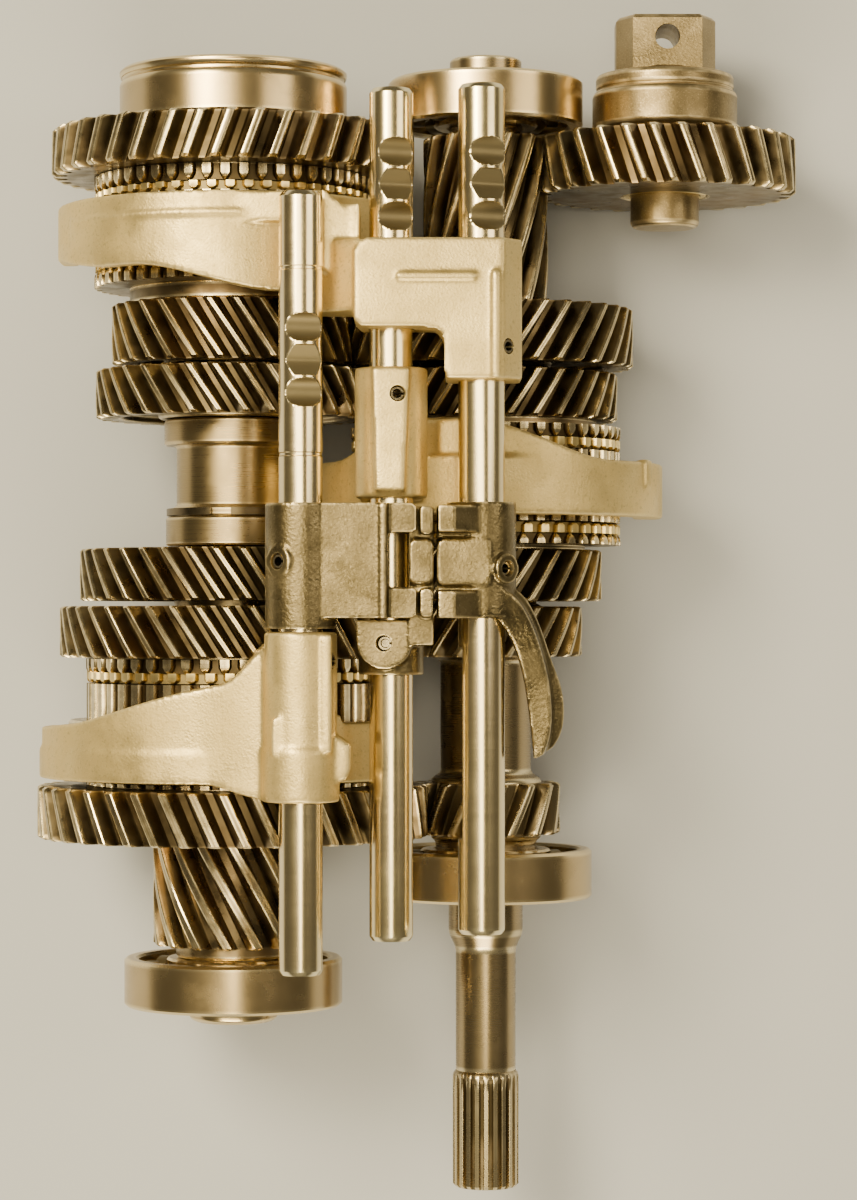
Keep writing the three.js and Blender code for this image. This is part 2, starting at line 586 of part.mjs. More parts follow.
// Selector plate of the 1-2 rod: a boss, a flat plate and two fingers beside the jaws.
const PLATE_LOW = 138.4;
const PLATE_HIGH = 143.4;
const selectorOneTwo = joined([
  barAt(ROD_1_2.x, ROD_1_2.z, 11.2, -2.8, 37),
  prismUp([[-41, 0.6], [-13, 0.6], [-13, 37], [-41, 37]], PLATE_LOW, PLATE_HIGH),
  prismUp([[-15, 0.6], [-3.4, 0.6], [-3.4, 10.4], [-15, 10.4]], PLATE_LOW, 146),
  prismUp([[-15, 27.6], [-3.4, 27.6], [-3.4, 37], [-15, 37]], PLATE_LOW, 146),
]);
place('selector_plate_1_2', drilled(bored(selectorOneTwo, ROD_1_2), ['selector_1_2_pin']), CAST_IRON);

const jawThreeFour = joined([
  barAt(ROD_3_4.x, ROD_3_4.z, 10.4, -17.5, -0.2),
  block(-6, 1.8, -8, 36, 126.6, 137.8),
  block(-2.9, 1.8, 1, 36, 137, 146),
]).subtract(block(-4, 3, 11, 26, 138, 148));
place('selector_jaw_3_4', drilled(bored(jawThreeFour, ROD_3_4), ['jaw_3_4_pin']), CAST_IRON);

const jawFiveR = joined([
  barAt(ROD_5_R.x, ROD_5_R.z, 11, 1, 37.6),
  block(2.4, 11, 0.6, 36.4, 133, 146),
]).subtract(block(0, 12, 10, 26.4, 137.6, 148));
const leverOutline = [
  [24, 12], [30, 8], [36.5, -1], [40, -13], [43, -22], [44.6, -41], [36.5, -46], [34, -40], [34.5, -26],
  [32, -14], [28, -3], [22, 1],
];
const lever = prismUp(leverOutline, 112, 124);
place('selector_lever_5_R', drilled(bored(jawFiveR.add(lever), ROD_5_R), ['lever_5_R_pin']), CAST_IRON);

export default transmission;
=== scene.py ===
# Manual transmission gear set: fine meshes, materials, floor, light and camera around the CAD frame.
import json
from math import atan2, cos, hypot, pi, radians, sin, sqrt, tan

import bpy
import numpy as np
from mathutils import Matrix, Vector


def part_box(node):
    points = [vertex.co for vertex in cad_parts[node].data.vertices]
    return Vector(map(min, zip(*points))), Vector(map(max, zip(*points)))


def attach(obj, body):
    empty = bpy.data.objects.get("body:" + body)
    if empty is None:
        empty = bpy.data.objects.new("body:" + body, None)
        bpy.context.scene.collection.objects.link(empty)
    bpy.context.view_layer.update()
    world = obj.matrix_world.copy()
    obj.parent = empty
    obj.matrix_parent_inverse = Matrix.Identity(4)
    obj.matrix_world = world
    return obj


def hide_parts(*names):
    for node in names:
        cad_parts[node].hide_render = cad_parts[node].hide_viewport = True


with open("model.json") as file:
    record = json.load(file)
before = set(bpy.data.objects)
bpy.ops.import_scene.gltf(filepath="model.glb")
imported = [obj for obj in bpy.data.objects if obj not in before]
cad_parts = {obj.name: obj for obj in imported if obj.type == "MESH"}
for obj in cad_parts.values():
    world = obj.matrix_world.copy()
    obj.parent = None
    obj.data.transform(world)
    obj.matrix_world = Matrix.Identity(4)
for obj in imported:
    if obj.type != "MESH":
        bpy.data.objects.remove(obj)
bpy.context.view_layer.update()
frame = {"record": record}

MM = 0.001


# ---- Places, in millimetres in the CAD model's bench frame ----
OUT = (-66.0, 66.0)                  # x, z of the output shaft
INP = (19.6, 50.5)                   # x, z of the input shaft
IDL = (81.4, 45.2)                   # x, z of the reverse idler
NUT_LOW, NUT_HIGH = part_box("output_shaft_nut")
SHIFT_X = (NUT_LOW.x + NUT_HIGH.x) / 2 / MM - OUT[0]    # bench x to world x
SHIFT_Y = -6.25                      # bench y to world y
ROD_12 = (-40.6, 136.0, 7.0, -112.7, 135.9)    # x, z, radius, from, to
ROD_34 = (-12.0, 124.0, 7.0, -102.9, 170.5)
ROD_5R = (17.0, 126.0, 7.5, -100.6, 171.5)
CENTRES = hypot(INP[0] - OUT[0], INP[1] - OUT[1])
MESH_ANGLE = atan2(INP[0] - OUT[0], INP[1] - OUT[1])
IDLER_ANGLE = atan2(IDL[0] - INP[0], IDL[1] - INP[1])
ADDENDUM, DEDENDUM = 2.26, 2.85     # the addendum stays 0.04 inside the CAD tips
PRESSURE_ANGLE = radians(22)
REVERSE_MODULE, REVERSE_HELIX = 2.945, 20
REVERSE_TEETH, DRIVE_TEETH, IDLER_TEETH = 40, 13, 29    # reverse gear, its drive gear, the idler
IDLER_MIDDLE = 155.55                # y where the idler and its pinion are phased together
DOGS_12, DOGS_34, DOGS_5R = 49.7, 46.3, 46.9
DOG_COUNT = 48
BALL_TRACK_DEPTH = 1.1
PIN_RADIUS, PIN_BORE, PIN_HOLE = 2.45, 1.5, 2.65
ROD_GAP, SLIDING_GAP = 0.25, 0.45    # a bore's radius beyond its rod's, pinned and sliding
BEYOND = 240.0                       # past every part, for cutters and for limits that don't bind
CAMERA_HEIGHT = 1.2                  # metres above the floor


# ---- Mesh building ----
class Shells:
    """Closed shells gathered into one mesh, in bench millimetres, with a value per vertex: above zero,
    scuffed edges painted brighter, partly a painted highlight; below zero, painted shade in hollows.
    """

    def __init__(self):
        self.points, self.wear, self.faces, self.count = [], [], [], 0

    def grid(self, points, wear, loop_rows=True, caps=False):
        """Quads over rows x columns x 3 points. Columns close; rows close or end in flat caps."""
        rows, columns = points.shape[:2]
        base = self.count
        self.points.append(points.reshape(-1, 3))
        self.wear.append(np.broadcast_to(wear, (rows, columns)).reshape(-1))
        self.count += rows * columns
        number = base + np.arange(rows * columns).reshape(rows, columns)
        last = rows if loop_rows else rows - 1
        low = number[:last]
        high = np.roll(number, -1, axis=0)[:last]
        quads = np.stack([low, np.roll(low, -1, 1), np.roll(high, -1, 1), high], axis=-1)
        self.faces.extend(quads.reshape(-1, 4).tolist())
        if caps:
            self.fan(number[0][::-1], points[0].mean(0))
            self.fan(number[-1], points[-1].mean(0))

    def solid(self, points, wear=0.0):
        """Rows of closed loops with a flat cap at each end."""
        self.grid(np.array(points, float), wear, loop_rows=False, caps=True)

    def fan(self, ring, middle):
        self.points.append(middle[None])
        self.wear.append(np.zeros(1))
        hub = self.count
        self.count += 1
        self.faces.extend([int(a), int(b), hub] for a, b in zip(ring, np.roll(ring, -1)))

    def mesh(self, name):
        points = (np.concatenate(self.points) + [SHIFT_X, SHIFT_Y, 0]) * MM
        mesh = bpy.data.meshes.new(name)
        mesh.from_pydata(points.tolist(), [], self.faces)
        wear = mesh.attributes.new("wear", "FLOAT", "POINT")
        wear.data.foreach_set("value", np.concatenate(self.wear).astype(np.float32))
        return mesh


def full_turn(count):
    """Evenly spaced angles round a circle."""
    return np.linspace(0, 2 * pi, count, endpoint=False)


def around(axis, radius, angle, y):
    """Points on a circle about a shaft axis; the angle runs from straight up towards +X."""
    radius, angle, y = np.broadcast_arrays(radius, angle, y)
    return np.stack([axis[0] + radius * np.sin(angle), y, axis[1] + radius * np.cos(angle)], -1)


def chamfered(profile, size, closed=True):
    """Cuts each corner of an (r, y) outline and marks the cut as a scuffed edge, painted brighter, partly as
    a painted highlight.
    """
    result = []
    count = len(profile)
    for i, corner in enumerate(profile):
        corner = np.array(corner, float)
        if not closed and i in (0, count - 1):
            result.append((corner[0], corner[1], 0.0))
            continue
        before = np.array(profile[i - 1], float) - corner
        after = np.array(profile[(i + 1) % count], float) - corner
        for side in (before, after):
            length = np.hypot(*side)
            cut = min(size, 0.32 * length)
            near = corner + side / length * cut
            far = corner + side / length * min(2.2 * cut, 0.45 * length)
            pair = [(far[0], far[1], 0.0), (near[0], near[1], 1.0)]
            result.extend(pair if side is before else pair[::-1])
    return result


def turned(axis, outline, segments):
    """Points and per-vertex values of an (r, y, value) outline turned about a shaft axis; the values paint
    scuffed edges brighter, partly as a painted highlight.
    """
    outline = np.array(outline)
    return around(axis, outline[:, :1], full_turn(segments), outline[:, 1:2]), outline[:, 2:3]


def revolved(shells, axis, profile, size, segments=112):
    """A ring turned about a shaft axis from a closed (r, y) outline that runs anticlockwise."""
    shells.grid(*turned(axis, chamfered(profile, size), segments))


def turned_bar(shells, axis, profile, size, segments=96):
    """A solid bar turned about a shaft axis; the (r, y) outline starts and ends off the axis."""
    first, last = (0.0, profile[0][1]), (0.0, profile[-1][1])
    outline = chamfered([first, *profile, last], size, False)
    shells.solid(*turned(axis, outline[1:-1], segments))


def ring_outline(bore, outer, y0, y1):
    return [(bore, y0), (outer, y0), (outer, y1), (bore, y1)]


# ---- Teeth ----
def involute_half(pitch_radius, teeth, radius, share):
    """Half the tooth's angle at a radius; share is the tooth's part of the pitch."""
    base = pitch_radius * cos(PRESSURE_ANGLE)
    turn = np.arccos(np.minimum(1, base / np.maximum(radius, base)))
    spread = tan(PRESSURE_ANGLE) - PRESSURE_ANGLE - (np.tan(turn) - turn)
    return share * pi / teeth + spread


def gear_shell(shells, axis, teeth, pitch_radius, face, lean, phase, inner, share=0.46, datum=None,
               end_cut=0.9, rows=9):
    """Helical gear; its phase holds at the height datum, or else at mid-face.

    inner is the (r, y) outline from the lower face in to the bore and out again.
    """
    y0, y1 = face
    tip, root = pitch_radius + ADDENDUM, pitch_radius - DEDENDUM
    pitch = 2 * pi / teeth
    middle = (y0 + y1) / 2 if datum is None else datum
    turn = tan(radians(lean)) / pitch_radius
    heights = np.array([root, root + 0.5, root + 1.4, pitch_radius, pitch_radius + 1.3, tip - 0.22, tip])
    half = involute_half(pitch_radius, teeth, heights, share)
    half[0] += 0.45 / root
    half[-1] -= 0.28 / tip
    half = np.clip(half, 0.12 / tip, pitch * 0.485)
    radius = np.concatenate([[root], heights, [tip], heights[::-1]])
    offset = np.concatenate([[-pitch / 2], -half, [0], half[::-1]])
    # Per-column values from root to tip: painted shade growing towards the root, and bright corners near the
    # tip, partly scuffing and partly a painted highlight.
    flank = [-0.9, -0.8, -0.5, -0.2, 0, 0.7, 0.9]
    wear_and_shading = np.array([-0.9, *flank, 0.1, *flank[::-1]], float)
    angle = (phase + pitch * np.arange(teeth)[:, None] + offset[None]).reshape(-1)
    radius, wear_and_shading = np.tile(radius, teeth), np.tile(wear_and_shading, teeth)
    shrink = np.tile(offset * 0.08, teeth)
    cut = np.clip((radius - root) / (tip - root), 0, 1)

    def row(y, edge):
        depth = end_cut * edge * cut ** 2
        spun = angle + turn * (y - middle) - shrink * edge * cut
        return around(axis, radius - depth, spun, y), np.where(edge > 0, np.maximum(wear_and_shading, edge * cut), wear_and_shading)

    stations = [(y0, 1.0), (y0 + 0.75 * end_cut, 0.0)]
    stations += [(y, 0.0) for y in np.linspace(y0 + 2, y1 - 2, rows)]
    stations += [(y1 - 0.75 * end_cut, 0.0), (y1, 1.0)]
    points, wear = zip(*(row(y, edge) for y, edge in stations))
    body = np.array(chamfered([(root - 0.7, y0), *inner, (root - 0.7, y1)], 0.5, False))
    spun = angle[None] + turn * (body[:, 1:2] - middle)
    inside = around(axis, body[:, :1], spun, body[:, 1:2])[::-1]
    shells.grid(
        np.concatenate([np.array(points), inside]),
        np.concatenate([np.array(wear), np.broadcast_to(body[::-1, 2:3] * 0.6, spun.shape)]),
    )


def plain_inner(bore, face):
    return [(bore, face[0]), (bore, face[1])]


def webbed_inner(bore, face, rim, hub, depth, low=True, high=True):
    """Bore, hub and rim with a turned recess on one side or both."""
    y0, y1 = face
    inner = [(rim, y0), (rim - 1, y0 + depth), (hub + 1, y0 + depth), (hub, y0)] if low else []
    inner += [(bore, y0), (bore, y1)]
    inner += [(hub, y1), (hub + 1, y1 - depth), (rim - 1, y1 - depth), (rim, y1)] if high else []
    return inner


def dog_shell(shells, axis, tip, root, inner, back, front, point=2.2, phase=0.0):
    """Ring of dog teeth whose roof-shaped ends point from back to front; point 0 makes plain splines."""
    pitch = 2 * pi / DOG_COUNT
    step = (phase + pitch * np.arange(DOG_COUNT))[:, None]
    way = 1 if front > back else -1
    stations = [(back, 0.27, 0.0), (front - way * point, 0.27, 0.0)]
    if point:
        stations += [(front - way * point * 0.45, 0.17, 0.15), (front, 0.05, 0.8)]
    stations = stations[::way]
    rows, wear = [], []
    for y, half, drop in stations:
        side = [half + 0.08, half, half - 0.045]
        offset = np.array([-0.5, *(-s for s in side), 0, *side[::-1]]) * pitch
        radius = np.array([root, root, tip - 0.4, tip, tip + 0.02, tip, tip - 0.4, root])
        radius = np.where(radius > root, radius - drop, radius)
        rows.append(around(axis, np.tile(radius, DOG_COUNT), (step + offset).reshape(-1), y))
        # Crests are painted bright, partly scuffing and partly a painted highlight; roots get painted shade
        # (-1).
        crest = (1, 1, 1, 1, 1) if drop else (0.7, 1, 0.5, 1, 0.7)
        wear.append(np.tile([-1.0, -1.0, *crest, -1.0], DOG_COUNT))
    angle = (step + np.linspace(-0.5, 0.375, 8) * pitch).reshape(-1)
    low, high = sorted((back, front))
    for radius, y in ((root - 0.6, high), (inner + 0.4, high), (inner, high - 0.4), (inner, low + 0.4),
                      (inner + 0.4, low), (root - 0.6, low)):
        rows.append(around(axis, radius, angle, y))
        wear.append(np.zeros(len(angle)))
    shells.grid(np.array(rows), np.array(wear))


# ---- Cast pieces: closed primitives, fused and rounded, then bored ----
def anticlockwise(outline):
    return sum(a[0] * b[1] - b[0] * a[1] for a, b in zip(outline, outline[1:] + outline[:1])) > 0


def prism_along(shells, outline, y0, y1):
    """Outline in (x, z), extruded along the shafts."""
    ring = outline[::-1] if anticlockwise(outline) else outline
    shells.solid([[(x, y, z) for x, z in ring] for y in (y0, y1)])


def prism_up(shells, outline, z0, z1):
    """Outline in (x, y), extruded upwards."""
    ring = outline if anticlockwise(outline) else outline[::-1]
    shells.solid([[(x, y, z) for x, y in ring] for z in (z0, z1)])


def block(shells, x0, x1, y0, y1, z0, z1):
    prism_up(shells, [(x0, y0), (x1, y0), (x1, y1), (x0, y1)], z0, z1)


def rounded(x0, x1, y0, y1, radius):
    """Rectangle outline with round corners."""
    x0, x1, y0, y1 = x0 + radius, x1 - radius, y0 + radius, y1 - radius
    outline = []
    for x, y, first in ((x1, y0, -90), (x1, y1, 0), (x0, y1, 90), (x0, y0, 180)):
        for degrees in range(first, first + 91, 18):
            a = radians(degrees)
            outline.append((x + radius * cos(a), y + radius * sin(a)))
    return outline


def boss(shells, axis, radius, y0, y1, segments=64):
    shells.solid([around(axis, radius, full_turn(segments), y) for y in (y0, y1)])


def bar_frame(lean, turn):
    """Unit vectors along a bar that leans from straight up towards +X, and out of it at each turn."""
    along = np.array([sin(lean), 0, cos(lean)])
    side = np.array([cos(lean), 0, -sin(lean)])
    return along, np.cos(turn) * side + np.sin(turn) * np.array([0, 1, 0])


def cross_bar(shells, place, radius, low, high, lean, segments):
    """A leaning bar across a rod at (x, y, z)."""
    along, outward = bar_frame(lean, full_turn(segments)[:, None])
    shells.solid([np.array(place) + s * along + radius * outward for s in (low, high)])


def band(shells, axis, start, end, inner, outer, lower, upper, count=48):
    """Arched arm about a shaft axis. Each limit is a number or a function of the angle in degrees."""
    limits = inner, outer, lower, upper
    rows = []
    for degrees in np.linspace(start, end, count):
        r0, r1, y0, y1 = (limit(degrees) if callable(limit) else limit for limit in limits)
        section = (r0, y0), (r0, y1), (r1, y1), (r1, y0)
        rows.append([around(axis, r, radians(degrees), y) for r, y in section])
    shells.solid(rows)


def smooth_step(value, low, high):
    t = min(1.0, max(0.0, (value - low) / (high - low)))
    return t * t * (3 - 2 * t)


def placed(name, data):
    """A new object in the scene."""
    obj = bpy.data.objects.new(name, data)
    bpy.context.collection.objects.link(obj)
    return obj


def discard(obj):
    mesh = obj.data
    bpy.data.objects.remove(obj)
    bpy.data.meshes.remove(mesh)


def applied(obj, name):
    """The evaluated mesh as a new object; the working object goes."""
    graph = bpy.context.evaluated_depsgraph_get()
    mesh = bpy.data.meshes.new_from_object(obj.evaluated_get(graph))
    discard(obj)
    mesh.name = name
    return placed(name, mesh)


def cut_with(obj, cutters):
    """Cuts each shell set in turn, so that crossing bores never meet inside one cutter."""
    tools = [placed("cutter", cutter.mesh("cutter")) for cutter in cutters]
    for tool in tools:
        boolean = obj.modifiers.new("bore", "BOOLEAN")
        boolean.operation = "DIFFERENCE"
        boolean.solver = "MANIFOLD"
        boolean.object = tool
    result = applied(obj, obj.name)
    for tool in tools:
        discard(tool)
    return result


def cast_piece(node, shells, cutters, material, voxel, passes):
    """Fuses the shells on a voxel grid, rounds the result, cuts the bores and installs the piece."""
    obj = placed(node, shells.mesh(node))
    remesh = obj.modifiers.new("fuse", "REMESH")
    remesh.mode = "VOXEL"
    remesh.voxel_size = voxel * MM
    smooth = obj.modifiers.new("round", "SMOOTH")
    smooth.factor = 0.5
    smooth.iterations = passes
    install(cut_with(applied(obj, node + "_cast"), cutters), node, material, 40)


# ---- Materials ----
class Look:
    """A node-based metal: base colours, stains, marks, scuffed edges painted brighter partly as a painted
    highlight, and painted shade in hollows.
    """

    def __init__(self, name, metallic, roughness):
        self.material = bpy.data.materials.new(name)
        self.material.use_nodes = True
        self.tree = self.material.node_tree
        self.shader = self.tree.nodes["Principled BSDF"]
        self.shader.inputs["Metallic"].default_value = metallic
        self.shader.inputs["Roughness"].default_value = roughness
        self.place = self.node("TexCoord").outputs["Object"]

    def link(self, source, target):
        self.tree.links.new(source, target)

    def node(self, kind, **values):
        """A new shader node with these input values."""
        node = self.tree.nodes.new("ShaderNode" + kind)
        for name, value in values.items():
            node.inputs[name.replace("_", " ")].default_value = value
        return node

    def noise(self, scale, detail, stretch=None, distortion=0.0):
        place = self.place
        if stretch:
            mapping = self.node("Mapping", Scale=stretch)
            self.link(place, mapping.inputs["Vector"])
            place = mapping.outputs["Vector"]
        node = self.node("TexNoise", Scale=scale, Detail=detail, Distortion=distortion)
        self.link(place, node.inputs["Vector"])
        return node.outputs["Fac"]

    def spots(self, scale):
        node = self.node("TexVoronoi", Scale=scale)
        self.link(self.place, node.inputs["Vector"])
        return node.outputs["Distance"]

    def mask(self, value, low, high, start=0.0, end=1.0):
        """Stretches low..high of a value to start..end."""
        node = self.node("MapRange", From_Min=low, From_Max=high, To_Min=start, To_Max=end)
        self.link(value, node.inputs["Value"])
        return node.outputs["Result"]

    def patches(self, scale, detail, low, high, start=0.0, end=1.0, distortion=0.0):
        """Noise whose low..high is stretched to start..end."""
        return self.mask(self.noise(scale, detail, distortion=distortion), low, high, start, end)

    def mix(self, factor, first, second):
        """Mixes two numbers, or two colours with a tuple among them. Either may be a socket."""
        color = tuple in (type(first), type(second))
        node = self.node("Mix")
        node.data_type = "RGBA" if color else "FLOAT"
        self.link(factor, node.inputs["Factor"])
        slot = 6 if color else 2
        for value, socket in ((first, node.inputs[slot]), (second, node.inputs[slot + 1])):
            if isinstance(value, bpy.types.NodeSocket):
                self.link(value, socket)
            else:
                socket.default_value = (*value, 1.0) if color else value
        return node.outputs[2 if color else 0]

    def wear_and_shading(self):
        node = self.node("Attribute")
        node.attribute_name = "wear"
        return node.outputs["Fac"]

    def edges(self, low, high):
        return self.mask(self.node("NewGeometry").outputs["Pointiness"], low, high)

    def relief(self, *layers):
        """Bump from (height, strength, distance in metres) layers."""
        last = None
        for height, strength, distance in layers:
            bump = self.node("Bump", Strength=strength, Distance=distance)
            self.link(height, bump.inputs["Height"])
            if last:
                self.link(last, bump.inputs["Normal"])
            last = bump.outputs["Normal"]
        self.link(last, self.shader.inputs["Normal"])

    def finish(self, color, roughness):
        self.link(color, self.shader.inputs["Base Color"])
        self.link(roughness, self.shader.inputs["Roughness"])
        return self.material


TURNING = (12.0, 3600.0, 12.0)       # marks that run round a shaft


def hardened_steel(name, dark, oily, bright, roughness=0.34):
    """Case-hardened gear steel: dark oily flanks with painted shade growing towards the roots, and bright
    corners, partly scuffing and partly a painted highlight.
    """
    look = Look(name, 1.0, roughness)
    wear = look.wear_and_shading()
    stains = look.patches(55, 5, 0.38, 0.66, distortion=0.6)
    ground = look.mix(stains, dark, oily)
    heat = look.patches(21, 2, 0.45, 0.7, 0.0, 0.4)
    ground = look.mix(heat, ground, tuple(v * w for v, w in zip(oily, (1.15, 0.92, 0.8))))
    # Bright corners: scuffing and painted highlight, from the positive per-vertex values.
    rub_and_highlight = look.mix(look.patches(420, 4, 0.35, 0.6), 0.6, 1.0)
    share = look.mix(wear, 0.0, rub_and_highlight)
    color = look.mix(share, ground, bright)
    # Painted shade: negative values darken tooth roots, lower flanks and dog roots towards black.
    painted_root_shade = look.mask(wear, -0.05, -1.0, 0.0, 0.78)
    color = look.mix(painted_root_shade, color, (0.035, 0.025, 0.012))
    rough = look.mix(look.patches(160, 4, 0.3, 0.7), roughness - 0.1, roughness + 0.12)
    rough = look.mix(look.mask(wear, 0.0, 1.0), rough, 0.22)
    look.relief((look.noise(1, 2, TURNING), 0.1, 0.00008), (look.noise(900, 3), 0.08, 0.00008))
    return look.finish(color, rough)


def ground_steel(name, first, second, edge, roughness, marks, dulling=0.3, hollow_shade_share=0.85,
                 recess=(0.19, 0.155, 0.086)):
    """Ground and polished steel with rings of grinding marks, a slow change of tint, edges painted brighter
    partly as a painted highlight, and painted shade in hollows.
    """
    look = Look(name, 1.0, roughness)
    tint = look.patches(18, 3, 0.35, 0.68, distortion=0.4)
    base = look.mix(tint, first, second)
    dull = look.patches(95, 5, 0.5, 0.74)
    base = look.mix(look.mix(dull, 0.0, dulling), base, tuple(v * 0.5 for v in first))
    # Edges painted brighter: scuffing and partly a painted highlight.
    color = look.mix(look.mix(look.wear_and_shading(), 0.0, 0.7), base, edge)
    # Painted shade: spline valleys, gear and dog roots and rod notch faces are darkened towards the shade
    # colour given last.
    painted_hollow_shade = look.mask(look.wear_and_shading(), 0.0, -1.0, 0.0, hollow_shade_share)
    color = look.mix(painted_hollow_shade, color, recess)
    rings = look.noise(1, 3, TURNING)
    swing = min(0.02, marks)
    rough = look.mix(look.mask(rings, 0.3, 0.7), roughness - swing, roughness + 2 * swing)
    rough = look.mix(dull, rough, roughness + 0.4 * dulling)
    rough = look.mix(painted_hollow_shade, rough, 0.54)
    look.relief((rings, marks, 0.00006))
    return look.finish(color, rough)


def cast_metal(name, dark, light, edge, metallic, roughness, grain, depth, blotch=26, bright_edge_range=(0.515, 0.56),
               sparkle=0.3):
    """Sand-cast surface: pebbled skin, blotches, and edges painted brighter, partly scuffing and partly a
    painted highlight.
    """
    look = Look(name, metallic, roughness)
    blotches = look.patches(blotch, 5, 0.34, 0.68, distortion=0.8)
    base = look.mix(blotches, dark, light)
    smear = look.patches(9, 4, 0.5, 0.72, 0.0, 0.45, 1.4)
    base = look.mix(smear, base, tuple(v * 0.72 for v in dark))
    pits = look.patches(grain * 0.7, 4, 0.3, 0.44)
    base = look.mix(look.mix(pits, 0.4, 0.0), base, tuple(v * 0.5 for v in dark))
    glints = look.patches(grain * 1.6, 2, 0.58, 0.7, 0.0, sparkle)
    base = look.mix(glints, base, edge)
    # Edges painted brighter: scuffing and partly a painted highlight.
    rub_and_highlight = look.mix(look.patches(180, 4, 0.35, 0.6), 0.35, 1.0)
    share = look.mix(look.edges(*bright_edge_range) if bright_edge_range else look.wear_and_shading(), 0.0, rub_and_highlight)
    color = look.mix(share, base, edge)
    rough = look.mix(look.patches(90, 4, 0.35, 0.65), roughness - 0.07, roughness + 0.1)
    look.relief((look.noise(grain, 4), depth, 0.0004), (look.spots(grain * 0.8), depth * 0.4, 0.0003))
    return look.finish(color, rough)


# Painted light: a lighter copy of the gear steel for the output shaft and its pinion, which sit in brighter
# light.
LIT_PINION_STEEL = hardened_steel(
    "pinion_steel_painted_light", (0.21, 0.165, 0.095), (0.37, 0.295, 0.175), (1.0, 0.87, 0.57), 0.3)
GEAR_STEEL = hardened_steel("gear_steel", (0.135, 0.105, 0.06), (0.255, 0.2, 0.115), (0.98, 0.83, 0.53))
SLEEVE_STEEL = hardened_steel(
    "sleeve_steel", (0.26, 0.205, 0.12), (0.38, 0.3, 0.18), (0.92, 0.79, 0.52), 0.3)
# The last colour here is painted shade for spline valleys and gear roots.
SHAFT_STEEL = ground_steel(
    "shaft_steel", (0.3, 0.235, 0.14), (0.4, 0.315, 0.19),
    (0.9, 0.78, 0.52), 0.27, 0.004, 0.12, 0.95, (0.06, 0.045, 0.022))
ROD_STEEL = ground_steel(
    "rod_steel", (0.85, 0.72, 0.44), (0.86, 0.71, 0.46), (0.97, 0.87, 0.6), 0.19, 0.03, 0.12)
RING_STEEL = hardened_steel("ring_steel", (0.09, 0.07, 0.045), (0.15, 0.12, 0.075), (0.5, 0.42, 0.28), 0.35)
RACE_STEEL = ground_steel(
    "race_steel", (0.5, 0.385, 0.215), (0.6, 0.46, 0.26), (0.92, 0.77, 0.48), 0.24, 0.004, 0.15)
SPACER_STEEL = ground_steel(
    "spacer_steel", (0.33, 0.255, 0.14), (0.42, 0.32, 0.18), (0.85, 0.7, 0.44), 0.27, 0.06)
# Painted shade: the cage is darkened to stand for the shadowed gap between the races.
SHADED_CAGE_BRONZE = ground_steel(
    "cage_bronze_painted_shade", (0.16, 0.12, 0.06), (0.21, 0.16, 0.08), (0.95, 0.82, 0.55), 0.3, 0.08)
BRASS = ground_steel("synchro_brass", (0.74, 0.54, 0.2), (0.83, 0.62, 0.25), (1.0, 0.84, 0.44), 0.3, 0.12)
FORK_ALLOY = cast_metal(
    "fork_alloy", (0.68, 0.525, 0.235), (0.84, 0.655, 0.3), (0.98, 0.83, 0.47), 0.82, 0.43, 1300, 0.2)
SELECTOR_IRON = cast_metal(
    "selector_iron", (0.125, 0.098, 0.05), (0.225, 0.178, 0.095),
    (0.86, 0.7, 0.4), 0.95, 0.33, 1000, 0.3, 60, (0.512, 0.55), 0.12)
IDLER_IRON = cast_metal(
    "idler_iron", (0.25, 0.19, 0.1), (0.35, 0.27, 0.15),
    (0.8, 0.65, 0.4), 0.95, 0.36, 1300, 0.14, 26, None)
PIN_STEEL = hardened_steel("pin_steel", (0.05, 0.043, 0.035), (0.1, 0.085, 0.06), (0.8, 0.68, 0.46), 0.3)

BODIES = frame["record"]["behaviour"]["bodies"]
BODY_OF = {node: body for body, nodes in BODIES.items() for node in nodes}


def install(obj, node, material, angle):
    """Finishes a piece that stands for a CAD node and rides on the same body."""
    mesh = obj.data
    obj.name = node + "_fine"
    mesh.materials.clear()
    mesh.materials.append(material)
    mesh.shade_smooth()
    mesh.set_sharp_from_angle(angle=radians(angle))
    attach(obj, BODY_OF[node])
    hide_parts(node)


def piece(node, shells, material, angle=32):
    install(placed(node, shells.mesh(node)), node, material, angle)


def ring_piece(node, axis, outline, material, size, segments=96, angle=32):
    """A piece that is one turned ring."""
    shells = Shells()
    revolved(shells, axis, outline, size, segments)
    piece(node, shells, material, angle)


# ---- Bearings ----
def bearing(prefix, axis, y0, y1, bore, outer, balls, groove=False):
    """Deep-groove ball bearing. groove adds a snap-ring groove near the top of the outer race."""
    wall = (outer - bore) * 0.25
    low, high = bore + wall, outer - wall
    middle, pitch = (y0 + y1) / 2, (low + high) / 2
    ball = (high - low) / 2 + BALL_TRACK_DEPTH
    bite = sqrt(ball ** 2 - ((high - low) / 2) ** 2)

    def track(way):
        """The balls' groove as an outline: way 1 in the outer race, -1 in the inner."""
        across = way * bite * np.linspace(-1, 1, 9)
        return [(pitch + way * (sqrt(max(0.0, ball ** 2 - t ** 2)) + 0.1), middle - t) for t in across]

    ring = [(outer, y0), (outer, y1)]
    if groove:
        bottom = outer - 1.3
        ring[1:1] = [(outer, y1 - 4.4), (bottom, y1 - 4.3), (bottom, y1 - 2.7), (outer, y1 - 2.6)]
    ring = [(high, y0), *ring, (high, y1), *track(1)]
    ring_piece(prefix + "_outer_race", axis, ring, RACE_STEEL, 0.9, 144, 28)
    ring = [(bore, y0), (low, y0), *track(-1), (low, y1), (bore, y1)]
    ring_piece(prefix + "_inner_race", axis, ring, RACE_STEEL, 0.7, 112, 28)
    cage_and_balls(prefix + "_cage_and_rollers", axis, middle, pitch, ball, balls)


